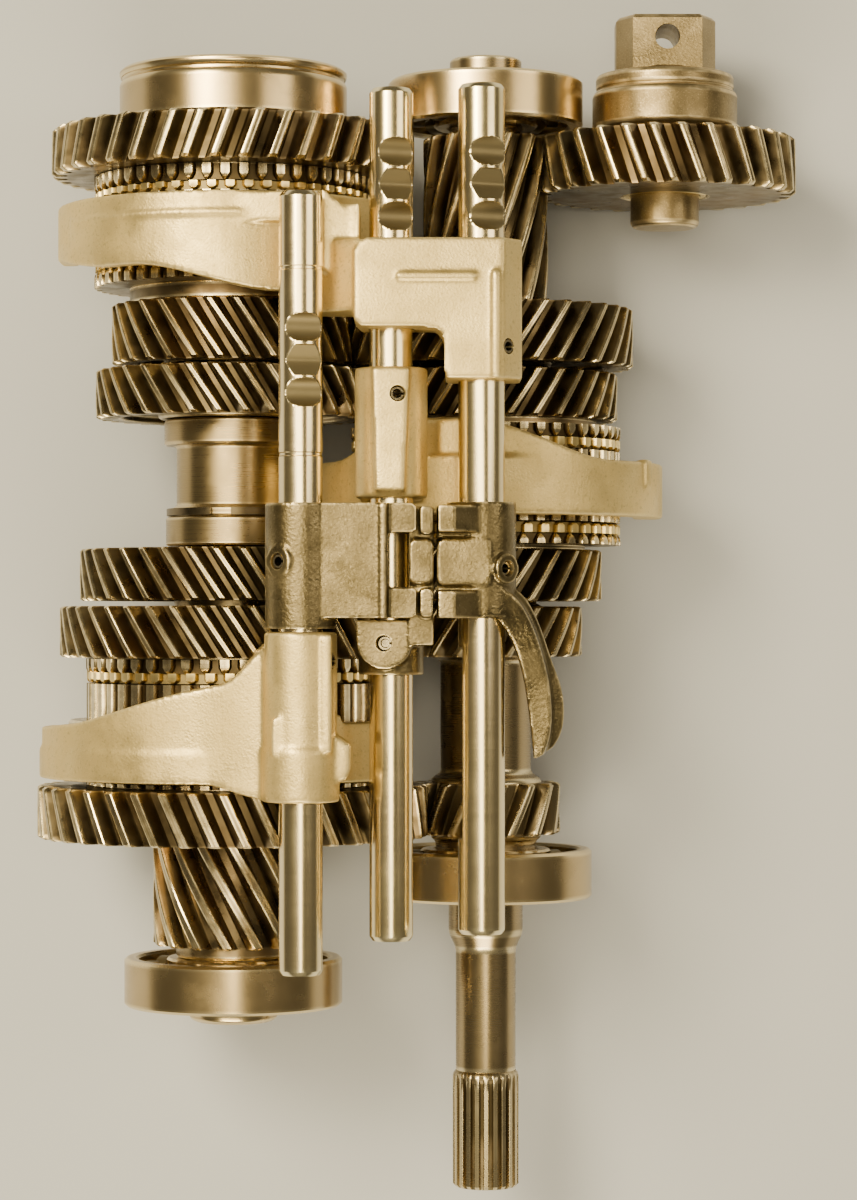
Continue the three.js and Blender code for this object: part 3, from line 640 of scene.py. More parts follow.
def cage_and_balls(node, axis, middle, pitch, ball, balls):
    """Two wavy ribbons that bulge round each ball, and the balls between them."""
    cage = Shells()
    column = full_turn(balls * 20)
    from_ball = np.abs((column / (2 * pi) * balls + 0.5) % 1 - 0.5) * 2 * pi / balls * pitch
    inner = np.sqrt(np.maximum(0.15 ** 2, (ball + 0.25) ** 2 - from_ball ** 2))
    for way in (-1, 1):
        section = [(-1.9, inner), (1.9, inner), (1.9, inner + 0.9), (-1.9, inner + 0.9)]
        rows = np.array([around(axis, pitch + r, column, middle + way * y) for r, y in section])
        cage.grid(rows if way > 0 else rows[::-1], 0.25)
    latitude = np.linspace(0.08, pi - 0.08, 18)[:, None]
    longitude = full_turn(28)
    sphere = np.stack([
        np.sin(latitude) * np.sin(longitude),
        -np.cos(latitude) + 0 * longitude,
        np.sin(latitude) * np.cos(longitude),
    ], -1)
    for turn in full_turn(balls):
        cage.solid(around(axis, pitch, turn, middle) + ball * 0.985 * sphere, 0.85)
    piece(node, cage, SHADED_CAGE_BRONZE, 40)


bearing("output_front_bearing", OUT, -130, -113.8, 17.8, 36.8, 9)
bearing("output_rear_bearing", OUT, 167, 185.3, 15.4, 38.4, 9, True)
bearing("input_front_bearing", INP, -94.9, -78.2, 17.6, 36.3, 9)
bearing("input_rear_bearing", INP, 168.6, 184.4, 12.7, 33.3, 8)


# ---- Gears and shafts ----
PAIRS = {   # teeth on the output shaft, teeth on the input shaft, helix, face
    "first": (41, 15, 24, (-73, -55.5)),
    "second": (42, 23, 33, (-12.4, 4.6)),
    "third": (37, 28, 33, (6.5, 23.8)),
    "fourth": (33, 32, 33, (67.8, 84)),
    "fifth": (29, 36, 33, (86, 106)),
}


def pair_gear(shells, name, side, inner):
    """One wheel of a forward pair: side 0 on the output shaft, side 1 on the input shaft."""
    driven, drive, helix, span = PAIRS[name]
    teeth = (driven, drive)[side]
    radius = teeth * CENTRES / (driven + drive)
    phase = MESH_ANGLE + (pi + pi / teeth if side else 0)
    lean = helix if side else -helix
    gear_shell(shells, (OUT, INP)[side], teeth, radius, span, lean, phase, inner)


def clutch(shells, axis, dogs, neck, bore, face_y, back, front):
    """Neck, dog ring and friction cone on the side of a loose gear."""
    way = 1 if front > back else -1
    neck_span = sorted((face_y - way * 0.2, back + way * 0.2))
    revolved(shells, axis, ring_outline(bore, neck, *neck_span), 0.4)
    dog_shell(shells, axis, dogs, dogs - 2.1, bore + 1, back, front)
    cone = sorted((front - way * 0.5, front + way * 2.6))
    outline = [(bore, cone[0]), (dogs - 7.4, cone[0]), (dogs - 7.8, cone[1]), (bore, cone[1])]
    revolved(shells, axis, outline, 0.4)


LARGE, SMALL = 20.4, 16.4            # bore radii on the output shaft's two steps
INPUT_BORE = 17.4


def loose_gear(node, name, side, bore, dogs, neck, back, front, web):
    """A free-turning gear and its clutch, from back to front. web is the rim's and hub's radius."""
    shells = Shells()
    span = PAIRS[name][3]
    towards = front > back
    rim, hub = web
    inner = webbed_inner(bore, span, rim, hub, 3.2, towards, not towards)
    pair_gear(shells, name, side, inner)
    clutch(shells, (OUT, INP)[side], dogs, neck, bore, span[1] if towards else span[0], back, front)
    piece(node, shells, GEAR_STEEL)


loose_gear("first_gear", "first", 0, LARGE, DOGS_12, 46, -55.2, -51.3, (54, 30))
loose_gear("second_gear", "second", 0, LARGE, DOGS_12, 46, -12.9, -17.7, (48, 30))
loose_gear("third_drive_gear", "third", 1, INPUT_BORE, DOGS_34, 34, 25.5, 28.8, (31, 23))
loose_gear("fourth_drive_gear", "fourth", 1, INPUT_BORE, DOGS_34, 38, 65.4, 61.2, (36, 24))


def fixed_gear(node, name, side, bore, rim, hub):
    shells = Shells()
    pair_gear(shells, name, side, webbed_inner(bore, PAIRS[name][3], rim, hub, 2.4))
    piece(node, shells, GEAR_STEEL)


fixed_gear("third_driven_gear", "third", 0, LARGE, 43, 27)
fixed_gear("fourth_driven_gear", "fourth", 0, SMALL, 38, 25)
fixed_gear("fifth_drive_gear", "fifth", 1, 15.5, 41, 22)


def fifth_gear():
    shells = Shells()
    span = PAIRS["fifth"][3]
    pair_gear(shells, "fifth", 0, webbed_inner(SMALL, span, 33, 23, 2.4, True, False))
    revolved(shells, OUT, ring_outline(SMALL, 35, 105.8, 112), 0.8)
    clutch(shells, OUT, DOGS_5R, 35, SMALL, 111.5, 111.8, 116.8)
    piece("fifth_gear", shells, GEAR_STEEL)


def reverse_shell(shells, axis, teeth, face, phase, inner, **shape):
    """A gear of the reverse train. The idler leans the other way."""
    lean = -REVERSE_HELIX if axis is IDL else REVERSE_HELIX
    gear_shell(shells, axis, teeth, teeth / 2 * REVERSE_MODULE, face, lean, phase, inner, **shape)


def reverse_gear():
    shells = Shells()
    face = (148.9, 164.5)
    inner = webbed_inner(SMALL, face, 50, 26, 2.6, False, True)
    reverse_shell(shells, OUT, REVERSE_TEETH, face, 0.0, inner, end_cut=1.2)
    clutch(shells, OUT, DOGS_5R, 44, SMALL, 148.9, 148.6, 143.4)
    piece("reverse_gear", shells, GEAR_STEEL)


def synchro_ring(node, axis, dogs, back, front):
    """Brass ring whose teeth point towards the hub's sleeve."""
    shells = Shells()
    dog_shell(shells, axis, dogs - 0.25, dogs - 2.3, dogs - 6.2, back, front, point=1.1, phase=pi / 90)
    piece(node, shells, BRASS)


def hub(node, axis, dogs, low, high, bore):
    shells = Shells()
    dog_shell(shells, axis, dogs - 0.2, dogs - 1.9, dogs - 9, low, high, point=0.0)
    middle = (low + high) / 2
    revolved(shells, axis, [
        (bore, low), (bore + 6, low), (bore + 7, middle - 5), (dogs - 8.6, middle - 5),
        (dogs - 8.6, middle + 5), (bore + 7, middle + 5), (bore + 6, high), (bore, high),
    ], 0.7)
    piece(node, shells, SLEEVE_STEEL)


def sleeve(node, axis, dogs, centre, width, outer, groove):
    half, slot = width / 2, 3.5
    inner = dogs + 0.35
    ring_piece(node, axis, [
        (inner, centre - half), (outer, centre - half), (outer, centre - slot), (groove, centre - slot + 0.3),
        (groove, centre + slot - 0.3), (outer, centre + slot), (outer, centre + half), (inner, centre + half),
    ], SLEEVE_STEEL, 0.7, 144)


fifth_gear()
reverse_gear()
synchro_ring("first_synchro_ring", OUT, DOGS_12, -51.0, -48.5)
synchro_ring("second_synchro_ring", OUT, DOGS_12, -17.4, -20.8)
synchro_ring("fifth_synchro_ring", OUT, DOGS_5R, 117.1, 119.8)
synchro_ring("reverse_synchro_ring", OUT, DOGS_5R, 143.0, 140.3)
synchro_ring("third_synchro_ring", INP, DOGS_34, 29.1, 32.6)
synchro_ring("fourth_synchro_ring", INP, DOGS_34, 60.9, 57.4)
hub("synchro_hub_1_2", OUT, DOGS_12, -48, -21.2, LARGE)
hub("synchro_hub_5_R", OUT, DOGS_5R, 120.1, 140, SMALL)
hub("synchro_hub_3_4", INP, DOGS_34, 33, 57, INPUT_BORE)
sleeve("synchro_sleeve_1_2", OUT, DOGS_12, -43.5, 20, 55.5, 53)
sleeve("synchro_sleeve_5_R", OUT, DOGS_5R, 130, 17, 52, 49.5)
sleeve("synchro_sleeve_3_4", INP, DOGS_34, 45, 17, 50.3, 48.6)


def output_shaft():
    shells = Shells()
    body = [
        (9.9, -134.8), (9.9, -130.2), (17.4, -130.2), (17.4, -113.5), (19.4, -113.5), (19.4, -74),
        (20, -74), (20, 24.4), (16, 24.4), (16, 166), (15, 166), (15, 186.2),
    ]
    turned_bar(shells, OUT, body, 0.7)
    face = (-109.4, -73.6)
    gear_shell(shells, OUT, 16, 24.9, face, -28, 0.0, plain_inner(18, face), share=0.5, rows=16)
    piece("output_shaft", shells, LIT_PINION_STEEL)
    dome = [(10.3, -135.7), (12.4, -135.7), (14.6, -134.6), (15.2, -132.6)]
    ring_piece("output_shaft_nut", OUT, [(10.3, -130.5), *dome, (15.2, -130.5)], RACE_STEEL, 0.4)


def spacer():
    ring_piece("output_spacer_sleeve", OUT, [
        (16.4, 25), (22.8, 25), (22.8, 34.6), (20.6, 34.9), (20.6, 38), (19.2, 38.2),
        (19.2, 58.6), (23.3, 58.9), (23.3, 67.4), (16.4, 67.4),
    ], SPACER_STEEL, 0.6, 128)
    ring = Shells()
    angle = np.linspace(radians(1), radians(343), 96)
    section = [(21.1, 35.1), (21.1, 37.5), (22.6, 37.5), (22.6, 35.1)]
    rows = [[around(OUT, r, a, y) for r, y in section] for a in angle]
    ring.solid(rows, 0.1)
    piece("output_split_ring", ring, RING_STEEL)


def input_shaft():
    shells = Shells()
    body = [
        (9.6, -156.5), (10.25, -154), (10.3, -112.6), (12.7, -107), (12.7, -95.4), (17.2, -95.4),
        (17.2, -75.5), (19, -74.5), (19, -54.5), (15.5, -52), (15.5, -14), (20, -12.2), (20, 4.4),
        (17, 5.9), (17, 85.4), (15, 85.4), (15, 107), (12.3, 107), (12.3, 192),
    ]
    turned_bar(shells, INP, body, 0.7, 112)
    splines(shells)
    for name, bore in (("first", 15), ("second", 16)):
        pair_gear(shells, name, 1, plain_inner(bore, PAIRS[name][3]))
    piece("input_shaft", shells, SHAFT_STEEL)


def splines(shells, count=22, tip=11.35, root=10.0):
    """Clutch splines with a chamfered end and a run-out at the top."""
    pitch = 2 * pi / count
    stations = [    # y, rise of the valley or drop of the tip, brightening of the chamfered end, partly a painted highlight
        (-194.0, -1.5, 1.0), (-192.9, 0.0, 0.3), (-175.0, 0.0, 0.0), (-160.5, 0.0, 0.0),
        (-158.0, 0.45, 0.0), (-156.2, 1.0, 0.2), (-155.0, 1.35, 0.4),
    ]
    offset = np.array([-0.5, -0.33, -0.26, -0.2, 0, 0.2, 0.26, 0.33]) * pitch
    high = np.array([0, 0, 0.85, 1, 1, 1, 0.85, 0])
    rows, wear = [], []
    for y, shift, edge in stations:
        valley = root + max(shift, 0)
        top = tip + min(shift, 0) * 0.75 - (0.35 if y == stations[-1][0] else 0)
        radius = np.minimum(valley + (tip - valley) * high, top)
        angle = (pitch * np.arange(count)[:, None] + offset[None]).reshape(-1)
        rows.append(around(INP, np.tile(radius, count), angle, y))
        # Valleys get painted shade (-1); spline tops are painted bright, partly scuffing and partly a painted
        # highlight.
        wear_and_shading = np.tile([-1, -1, 0.3, 0.9, 0.5, 0.9, 0.3, -1], count)
        wear.append(np.maximum(wear_and_shading, edge) if edge else wear_and_shading)
    rows.append(around(INP, 10.3, angle, -154.2))
    wear.append(np.zeros(len(angle)))
    shells.solid(rows, np.array(wear))


def reverse_drive():
    shells = Shells()
    face = (108, 165)
    inner = plain_inner(12.7, face)
    reverse_shell(shells, INP, DRIVE_TEETH, face, IDLER_ANGLE, inner, datum=IDLER_MIDDLE, rows=22)
    piece("reverse_drive_gear", shells, GEAR_STEEL)


output_shaft()
spacer()
input_shaft()
reverse_drive()


# ---- Reverse idler ----
def idler():
    wheel = Shells()
    face = (145.8, 165.3)
    phase = IDLER_ANGLE + pi + pi / IDLER_TEETH
    inner = webbed_inner(14.7, face, 35, 20, 2.8, False, True)
    reverse_shell(wheel, IDL, IDLER_TEETH, face, phase, inner, end_cut=1.3)
    piece("reverse_idler_gear", wheel, GEAR_STEEL)
    ring_piece("idler_bush", IDL, ring_outline(12.2, 14.3, 145.9, 165.2), BRASS, 0.4)
    ring_piece("idler_thrust_washer", IDL, ring_outline(12.3, 19, 165.6, 166.9), BRASS, 0.3)


def idler_spindle():
    """Turned spindle and collar with a six-sided head and a bolt hole across it."""
    spindle = Shells()
    turned_bar(spindle, IDL, [
        (10.6, 135), (11.8, 136.2), (11.8, 167.3), (22.6, 167.3), (24.9, 169.5), (24.9, 180.2), (23.9, 181.6),
        (23.2, 181.8), (23.2, 182.4), (23.7, 182.8), (23.7, 186.4), (22.7, 187.4), (16.5, 187.5), (15.5, 189),
    ], 0.5, 128)
    corners = [(17, 5.5), (11.8, 14.6), (-11.8, 14.6), (-17, 5.5)]
    corners += [(-x, -z) for x, z in corners]
    head = []
    for (x0, z0), (x1, z1) in zip(corners, corners[1:] + corners[:1]):
        head.extend((x0 + (x1 - x0) * t, z0 + (z1 - z0) * t) for t in (0.0, 0.06, 0.5, 0.94))
    head = np.array(head[::-1])
    rows, wear = [], []
    for y, size, edge in ((186.8, 1, 0), (187.6, 1, 0), (205.2, 1, 0.2), (206.5, 0.93, 1.0)):
        across, up = (head * size).T
        rows.append(np.stack([IDL[0] + across, np.full(len(head), y), IDL[1] + up], -1))
        wear.append(np.full(len(head), edge))
    spindle.solid(rows, np.array(wear))
    bolt = Shells()
    cross_bar(bolt, (IDL[0], 198.8, IDL[1]), 4.25, -30, 30, 0.0, 48)
    node = "idler_spindle"
    install(cut_with(placed(node, spindle.mesh(node)), [bolt]), node, IDLER_IRON, 30)


idler()
idler_spindle()


# ---- Shift rods and pins ----
ROD_BEVEL = 1.3
NOTCH_PITCH = 10.3
NOTCH_RADIUS = 4.8                   # also the reach of the middle, V-shaped notch along the rod
MIDDLE_NOTCH_DEPTH = 3.4


def shift_rod(node, rod, first_notch, lean, flat=(), rings=()):
    """Round rod shaped as limits on the radius, with three detent notches. The lean is in degrees.

    flat is a face on the -X side: its distance from the middle and its two ends. rings are grooves.
    """
    radius, y0, y1 = rod[2:]
    angle = np.linspace(-pi, pi, 160, endpoint=False)
    notch_ends = (first_notch - 7, first_notch + 2 * NOTCH_PITCH + 7)
    marks = [y0, y0 + 0.7, y0 + 1.5, y0 + 3, y1 - 3, y1 - 1.5, y1 - 0.7, y1]
    marks += list(np.linspace(y0 + 6, y1 - 6, 50)) + list(np.arange(*notch_ends, 0.3))
    marks += [ring + step for ring in rings for step in (-0.7, -0.4, 0, 0.4, 0.7)]
    marks += [end + step for end in flat[1:] for step in (-0.2, 0.2)]
    y = np.unique(np.round(marks, 3))[:, None]
    end = np.minimum(y - y0, y1 - y)
    limit = radius - np.clip(ROD_BEVEL - end, 0, None) * 0.8
    # Bevelled ends painted bright, partly scuffing and partly a painted highlight.
    wear = np.where(end < 1.6, 0.8, 0.0) + 0 * angle[None]
    for ring in rings:
        limit = limit - np.where(np.abs(y - ring) < 0.5, 0.25, 0)
    limit = limit + 0 * angle[None]
    facing = np.maximum(np.cos(angle[None] - radians(lean)), 1e-3)
    for i in range(3):
        away = np.abs(y - (first_notch + i * NOTCH_PITCH))
        if i == 1:
            bottom = radius - MIDDLE_NOTCH_DEPTH + np.hypot(0.5 * away, 0.4)
        else:
            bottom = radius + 1.6 - np.sqrt(np.maximum(0.0, NOTCH_RADIUS ** 2 - away ** 2))
        reach = np.where(away < NOTCH_RADIUS, bottom / facing, BEYOND)
        # Notch rims painted bright, partly scuffing and partly a painted highlight; notch faces get painted
        # shade.
        wear = np.where((np.abs(limit - reach) < 0.16) & (away < NOTCH_RADIUS), 1.0, wear)
        wear = np.where(limit - reach > 0.2, -1.0, wear)
        limit = np.minimum(limit, reach)
    if flat:
        side = np.maximum(-np.sin(angle[None]), 1e-3)
        cut = np.where((y > flat[1]) & (y < flat[2]), flat[0] / side, BEYOND)
        limit = np.minimum(limit, cut)
    shells = Shells()
    shells.solid(around(rod, limit, angle[None], y), wear)
    obj = placed(node, shells.mesh(node))
    holes = [pin_hole(name) for name, pin in PINS.items() if pin[0] is rod]
    install(cut_with(obj, holes), node, ROD_STEEL, 24)


PINS = {    # rod, y, lean in degrees, ends along the pin
    "fork_1_2_pin": (ROD_12, -13, 58, -11.6, 12),
    "fork_3_4_pin": (ROD_34, 72, 10, -11, 11.6),
    "fork_5_R_pin": (ROD_5R, 87, 42, -12.2, 12.6),
    "selector_1_2_pin": (ROD_12, 18.5, -38, -10.4, 11),
    "jaw_3_4_pin": (ROD_34, -7.4, -10, -10, 10.4),
    "lever_5_R_pin": (ROD_5R, 16.4, 42, -10.6, 11),
}


def pin_bar(shells, pin, radius, low, high, segments=32):
    """A bar on the axis of a roll pin."""
    rod, at, lean, _, _ = PINS[pin]
    cross_bar(shells, (rod[0], at, rod[1]), radius, low, high, radians(lean), segments)


def bore_cutter(axis, radius, y0=-BEYOND, y1=BEYOND, segments=72):
    """A cutter that runs along the shafts."""
    cutter = Shells()
    boss(cutter, axis, radius, y0, y1, segments)
    return cutter


def pin_hole(pin):
    cutter = Shells()
    pin_bar(cutter, pin, PIN_HOLE, -40, 40)
    return cutter


def rod_bores(rod, pin):
    """Cutters for a cast piece's rod and for the pin that holds it."""
    return [bore_cutter(rod, rod[2] + ROD_GAP), pin_hole(pin)]


def roll_pin(node):
    """Rolled spring pin: a C in section, with bevelled ends."""
    rod, at, lean, low, high = PINS[node]
    place = np.array([rod[0], at, rod[1]])
    angle = np.linspace(radians(12), radians(348), 40)
    radius = np.repeat([PIN_RADIUS, PIN_BORE], len(angle))[:, None]
    turn = np.concatenate([angle, angle[::-1]])[:, None]
    along, outward = bar_frame(radians(lean), turn)
    outside = radius == PIN_RADIUS
    rows = []
    for s, grow in ((low, -0.35), (low + 0.8, 0), (high - 0.8, 0), (high, -0.35)):
        rows.append(place + s * along + (radius + np.where(outside, grow, 0)) * outward)
    shells = Shells()
    # Pin ends painted bright, partly scuffing and partly a painted highlight.
    shells.grid(np.array(rows), np.array([[1.0], [0.3], [0.3], [1.0]]), loop_rows=False)
    count = len(turn)
    upper = 3 * count
    if node == "jaw_3_4_pin":
        pin_bar(shells, node, 1.25, low + 2, high - 0.7, 20)
        # Painted highlight: the core of this pin is painted bright all over.
        shells.wear[-3:] = [np.ones_like(w) for w in shells.wear[-3:]]
    for i in range(len(angle) - 1):
        quad = i, i + 1, count - 2 - i, count - 1 - i
        shells.faces.append(list(quad[::-1]))
        shells.faces.append([upper + corner for corner in quad])
    piece(node, shells, PIN_STEEL)


shift_rod("shift_rod_1_2", ROD_12, 72, 15, rings=(52.5, 111.5))
shift_rod("shift_rod_3_4", ROD_34, 129.1, 21)
shift_rod("shift_rod_5_R", ROD_5R, 129, 25, flat=(6.1, -70, -9))
for pin_name in PINS:
    roll_pin(pin_name)


# ---- Forks and selectors ----
def fork_1_2():
    arm = Shells()
    band(arm, OUT, -98, 72, 56.4, lambda a: 64.8 - 1.6 * smooth_step(abs(a + 13), 60, 85),
         -52.7, lambda a: -33.2 - 2.5 * (1 - smooth_step(a, -80, -40)))
    band(arm, OUT, -98, 72, 53.4, 58, -46.7, -40.3)
    band(arm, OUT, -66, 36, 59.8,
         lambda a: 64.9 + 7.0 * smooth_step(a, -8, 17) * (1 - smooth_step(a, 24, 36)),
         lambda a: -52.7 - 4.6 * smooth_step(a, -6, 13) * (1 - smooth_step(a, 24, 30)),
         lambda a: (-35 + 15.5 * smooth_step(a, -64, 12) + 13 * smooth_step(a, 0, 15)
                    - 24 * smooth_step(a, 22, 34)))
    band(arm, OUT, -82, -2, 63.2, 65.35, -52.7, -42.6)
    boss(arm, ROD_12, 11.6, -57.8, -3.8)
    boss(arm, ROD_12, 12.35, -57.8, -41)
    prism_up(arm, rounded(-33.4, -30.4, -42, -4.4, 0.8), 138, 146.6)
    prism_up(arm, rounded(-49.6, -43.6, -44, -30.4, 2.6), 138, 146.3)
    prism_up(arm, [(-31, -52), (-26, -50.5), (-24.6, -47), (-24.6, -39.5), (-31, -35)], 128, 142)
    cutters = rod_bores(ROD_12, "fork_1_2_pin")
    cutters.append(bore_cutter(OUT, 66.9, -62, -54.2, 96))
    cast_piece("shift_fork_1_2", arm, cutters, FORK_ALLOY, 0.7, 9)


def fork_3_4():
    arm = Shells()
    band(arm, INP, -78, 98, 50.9, lambda a: 59.7 + 0.8 * smooth_step(a, 30, 80),
         34.6, lambda a: 53 + 13 * (1 - smooth_step(a, -8, 44)) * smooth_step(a, -60, -20))
    band(arm, INP, -78, 98, 48.9, 53, 41.8, 48.2)
    web = [(-22, 119), (-4, 117), (12, 114.2), (24, 111.6), (35, 108.6), (45, 104), (40, 102), (19.6, 106),
           (-5, 103.4), (-16, 99)]
    prism_along(arm, web, 34.6, 53.4)
    prism_along(arm, [(-10, 119), (-1, 116.6), (3, 111.4), (11, 110.6), (11, 107), (-8, 107)], 54, 65.6)
    boss(arm, ROD_34, 11.7, 39, 80.8)
    prism_up(arm, [(-16.8, 41), (-7.6, 41), (-6, 80.4), (-18, 80.4)], 128, 136.8)
    band(arm, INP, 60.6, 64.6, 58.0, 61.5, 44.4, 53.8, 6)
    cast_piece("shift_fork_3_4", arm, rod_bores(ROD_34, "fork_3_4_pin"), FORK_ALLOY, 0.7, 9)


def fork_5_r():
    arm = Shells()
    band(arm, OUT, -98, 72, 53.0, 59.0,
         lambda a: (120.4 - 5.2 * smooth_step(a, -85, -42) - 9 * smooth_step(a, -32, 18)
                    + 11.8 * smooth_step(a, 26, 40)),
         138.2)
    band(arm, OUT, -98, 72, 49.8, 55, 126.8, 133.2)
    band(arm, OUT, -62, 8, 58, 59.7, 130.4, 131.8)
    climb = [(-48, 122), (-36, 126), (-30.5, 130.5), (-22, 137.2), (-22, 110), (-32, 110), (-44, 117)]
    prism_along(arm, climb, 98.5, 121.3)
    prism_along(arm, [(-48, 122), (-36, 126), (-22, 131), (-22, 110), (-32, 110), (-44, 117)], 106, 133)
    prism_along(arm, [(-66, 124.7), (-36, 126.2), (-32, 126), (-36, 116)], 128, 138)
    prism_up(arm, [(-34, 112), (-23, 106.5), (-23, 128), (-29, 134), (-34, 138)], 114, 130)
    bridge = [(-23.8, 95.5), (-21.5, 93.2), (2.6, 93.2), (5.0, 90), (5.6, 76.6), (21, 76.6), (21, 121.6),
              (-20, 121.6), (-23.8, 117.5)]
    prism_up(arm, bridge, 112.5, 137.6)
    flank = [(5.6, 112.5), (5.6, 137.6), (23.8, 137.6), (29.9, 130), (29.9, 112.5)]
    prism_along(arm, flank, 76.6, 121.6)
    prism_up(arm, rounded(20.2, 22.6, 77, 111, 1.0), 136, 138.9)
    prism_up(arm, rounded(-10, 15, 108.2, 110.2, 0.9), 136, 138.5)
    cutters = rod_bores(ROD_5R, "fork_5_R_pin")
    cutters.append(bore_cutter(ROD_34, ROD_34[2] + SLIDING_GAP))
    cast_piece("shift_fork_5_R", arm, cutters, FORK_ALLOY, 0.65, 9)


def selector_1_2():
    plate = Shells()
    boss(plate, ROD_12, 11.3, -2.8, 37)
    block(plate, -42, -13, 0.6, 37, 138.6, 145.4)
    for y0, y1 in ((0.6, 10.4), (27.6, 37)):
        prism_up(plate, rounded(-16, -3.6, y0, y1, 2.0), 138.6, 143.4)
    block(plate, -15, -13.4, 0.6, 37, 138.6, 146.2)
    pin_bar(plate, "selector_1_2_pin", 5.0, 4, 11.6)
    cast_piece("selector_plate_1_2", plate, rod_bores(ROD_12, "selector_1_2_pin"), SELECTOR_IRON, 0.6, 3)


def selector_3_4():
    jaw = Shells()
    boss(jaw, ROD_34, 10.4, -17.5, -0.2)
    arc = [radians(a) for a in range(180, 361, 15)]
    tab = [(-14.0 + 8.8 * cos(a), -6.8 + 8.8 * sin(a)) for a in arc]
    prism_up(jaw, [*tab, (-4.8, 0), (-23.0, 0)], 126, 136.8)
    block(jaw, -6.2, 1.6, -8, 36, 126.6, 137.2)
    prism_up(jaw, rounded(-6.2, 1.6, 11.4, 25.6, 2.4), 130, 138.4)
    for y0, y1 in ((1, 9.8), (27.2, 36)):
        prism_up(jaw, rounded(-2.6, 1.4, y0, y1, 1.4), 136, 144.2)
    cast_piece("selector_jaw_3_4", jaw, rod_bores(ROD_34, "jaw_3_4_pin"), SELECTOR_IRON, 0.5, 3)


LEVER_ROWS = [   # inner edge x y, ridge x y, outer edge x y, height of the top, height of the outer step
    (17.5, 5.0, 22.6, 10.6, 24.0, 11.4, 135.6, 131.0),
    (21.2, 1.2, 28.0, 7.2, 29.6, 9.2, 134.6, 130.0),
    (24.8, -2.8, 31.6, 1.4, 33.8, 3.0, 131.6, 127.0),
    (27.8, -8.8, 34.8, -5.8, 37.0, -4.8, 128.0, 123.0),
    (30.2, -16.2, 37.4, -14.6, 39.9, -13.6, 125.6, 120.0),
    (31.9, -25.2, 39.3, -23.6, 43.9, -23.6, 124.2, 118.0),
    (33.2, -36.0, 39.6, -36.2, 43.9, -35.6, 123.7, 117.6),
    (34.2, -46.2, 36.4, -44.6, 39.8, -42.0, 123.2, 117.4),
]


def lever_arm(shells):
    """Curved reverse lever: a high inner face and a lower outer step, lofted along the curve."""
    at = np.linspace(0, len(LEVER_ROWS) - 1, 57)
    columns = [np.interp(at, range(len(LEVER_ROWS)), column) for column in zip(*LEVER_ROWS)]
    smooth = [np.convolve(np.pad(c, 4, "edge"), np.full(9, 1 / 9), "valid") for c in columns]
    inner_x, inner_y, ridge_x, ridge_y, outer_x, outer_y, top, step = smooth
    low = np.full(at.shape, 112.3)
    loop = [
        (inner_x, inner_y, low), (outer_x, outer_y, low), (outer_x, outer_y, step - 0.8),
        (ridge_x + 0.8, ridge_y, step), (ridge_x, ridge_y, top), (inner_x, inner_y, top),
    ]
    shells.solid(np.stack([np.stack(corner, -1) for corner in loop], 1))


def selector_5_r():
    jaw = Shells()
    boss(jaw, ROD_5R, 11.1, 1, 37.6)
    block(jaw, 2.6, 14, 0.6, 36.4, 131, 135.6)
    prism_up(jaw, rounded(2.7, 20, 11.0, 25.8, 2.2), 131, 137.4)
    horn = [(3.2, 134), (3.2, 144.2), (8.4, 144.2), (14.5, 138.5), (20, 134)]
    for y0, y1 in ((0.6, 9.0), (27.8, 36.4)):
        prism_along(jaw, horn, y0, y1)
    pin_bar(jaw, "lever_5_R_pin", 4.8, 4, 12.4)
    lever_arm(jaw)
    cast_piece("selector_lever_5_R", jaw, rod_bores(ROD_5R, "lever_5_R_pin"), SELECTOR_IRON, 0.55, 3)


fork_1_2()
fork_3_4()
fork_5_r()
selector_1_2()
selector_3_4()
selector_5_r()


# ---- Floor, light and camera ----
FLOOR_REACH = 6.0                    # metres from the middle to each side
FLOOR_PAINT = (0.52, 0.54, 0.61, 1)


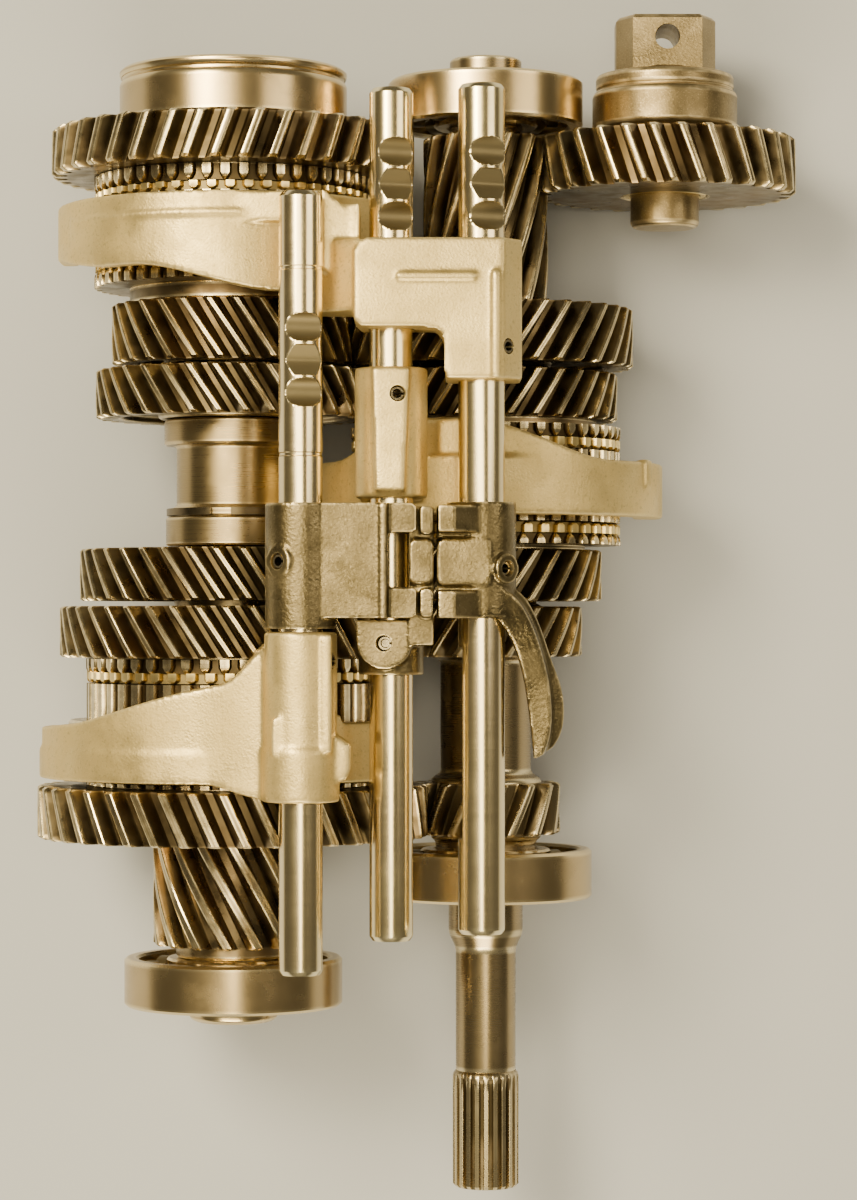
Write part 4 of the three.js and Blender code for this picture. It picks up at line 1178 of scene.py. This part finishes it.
def floor():
    mesh = bpy.data.meshes.new("floor")
    corners = [(x * FLOOR_REACH, y * FLOOR_REACH, 0) for x, y in ((-1, -1), (1, -1), (1, 1), (-1, 1))]
    mesh.from_pydata(corners, [], [(0, 1, 2, 3)])
    material = bpy.data.materials.new("floor_paint")
    material.use_nodes = True
    shader = material.node_tree.nodes["Principled BSDF"]
    shader.inputs["Base Color"].default_value = FLOOR_PAINT
    shader.inputs["Roughness"].default_value = 0.75
    mesh.materials.append(material)
    obj = placed("floor", mesh)


def area_light(name, place, aim, size, power, color):
    light = bpy.data.lights.new(name, "AREA")
    light.shape = "RECTANGLE"
    light.size, light.size_y = size
    light.energy = power
    light.color = color
    obj = placed(name, light)
    obj.location = place
    direction = np.array(aim, float) - np.array(place, float)
    yaw = atan2(direction[1], direction[0])
    pitch = atan2(hypot(direction[0], direction[1]), -direction[2])
    obj.rotation_euler = (pitch, 0, yaw - pi / 2)


WARM, AMBIENT = (1.0, 0.85, 0.52), (0.82, 0.72, 0.5, 1)
LIGHTS = [    # name, place, aim, size in metres, watts, colour
    ("key", (-0.75, 0.6, 1.5), (0, 0, 0.05), (0.55, 0.6), 36, WARM),
    ("fill", (1.2, 0.3, 1.2), (0, 0, 0.05), (0.4, 0.9), 5, (1.0, 0.86, 0.58)),
    ("near", (-0.15, -1.35, 1.1), (0, -0.05, 0.05), (1.1, 0.4), 30, WARM),
    ("overhead", (-0.22, 0.15, 2.1), (0, 0, 0), (0.62, 1.2), 21, WARM),
]


def studio():
    world = bpy.data.worlds.new("studio")
    world.use_nodes = True
    background = world.node_tree.nodes["Background"]
    background.inputs["Color"].default_value = AMBIENT
    background.inputs["Strength"].default_value = 0.15
    bpy.context.scene.world = world
    for light in LIGHTS:
        area_light(*light)


def camera():
    """Looks straight down from above the middle of the bench frame."""
    data = bpy.data.cameras.new("camera")
    data.sensor_width = 36.0
    data.lens = 100.5
    data.shift_y = 1 / 60
    obj = placed("camera", data)
    obj.location = (SHIFT_X * MM, SHIFT_Y * MM, CAMERA_HEIGHT)
    bpy.context.scene.camera = obj


floor()
studio()
camera()
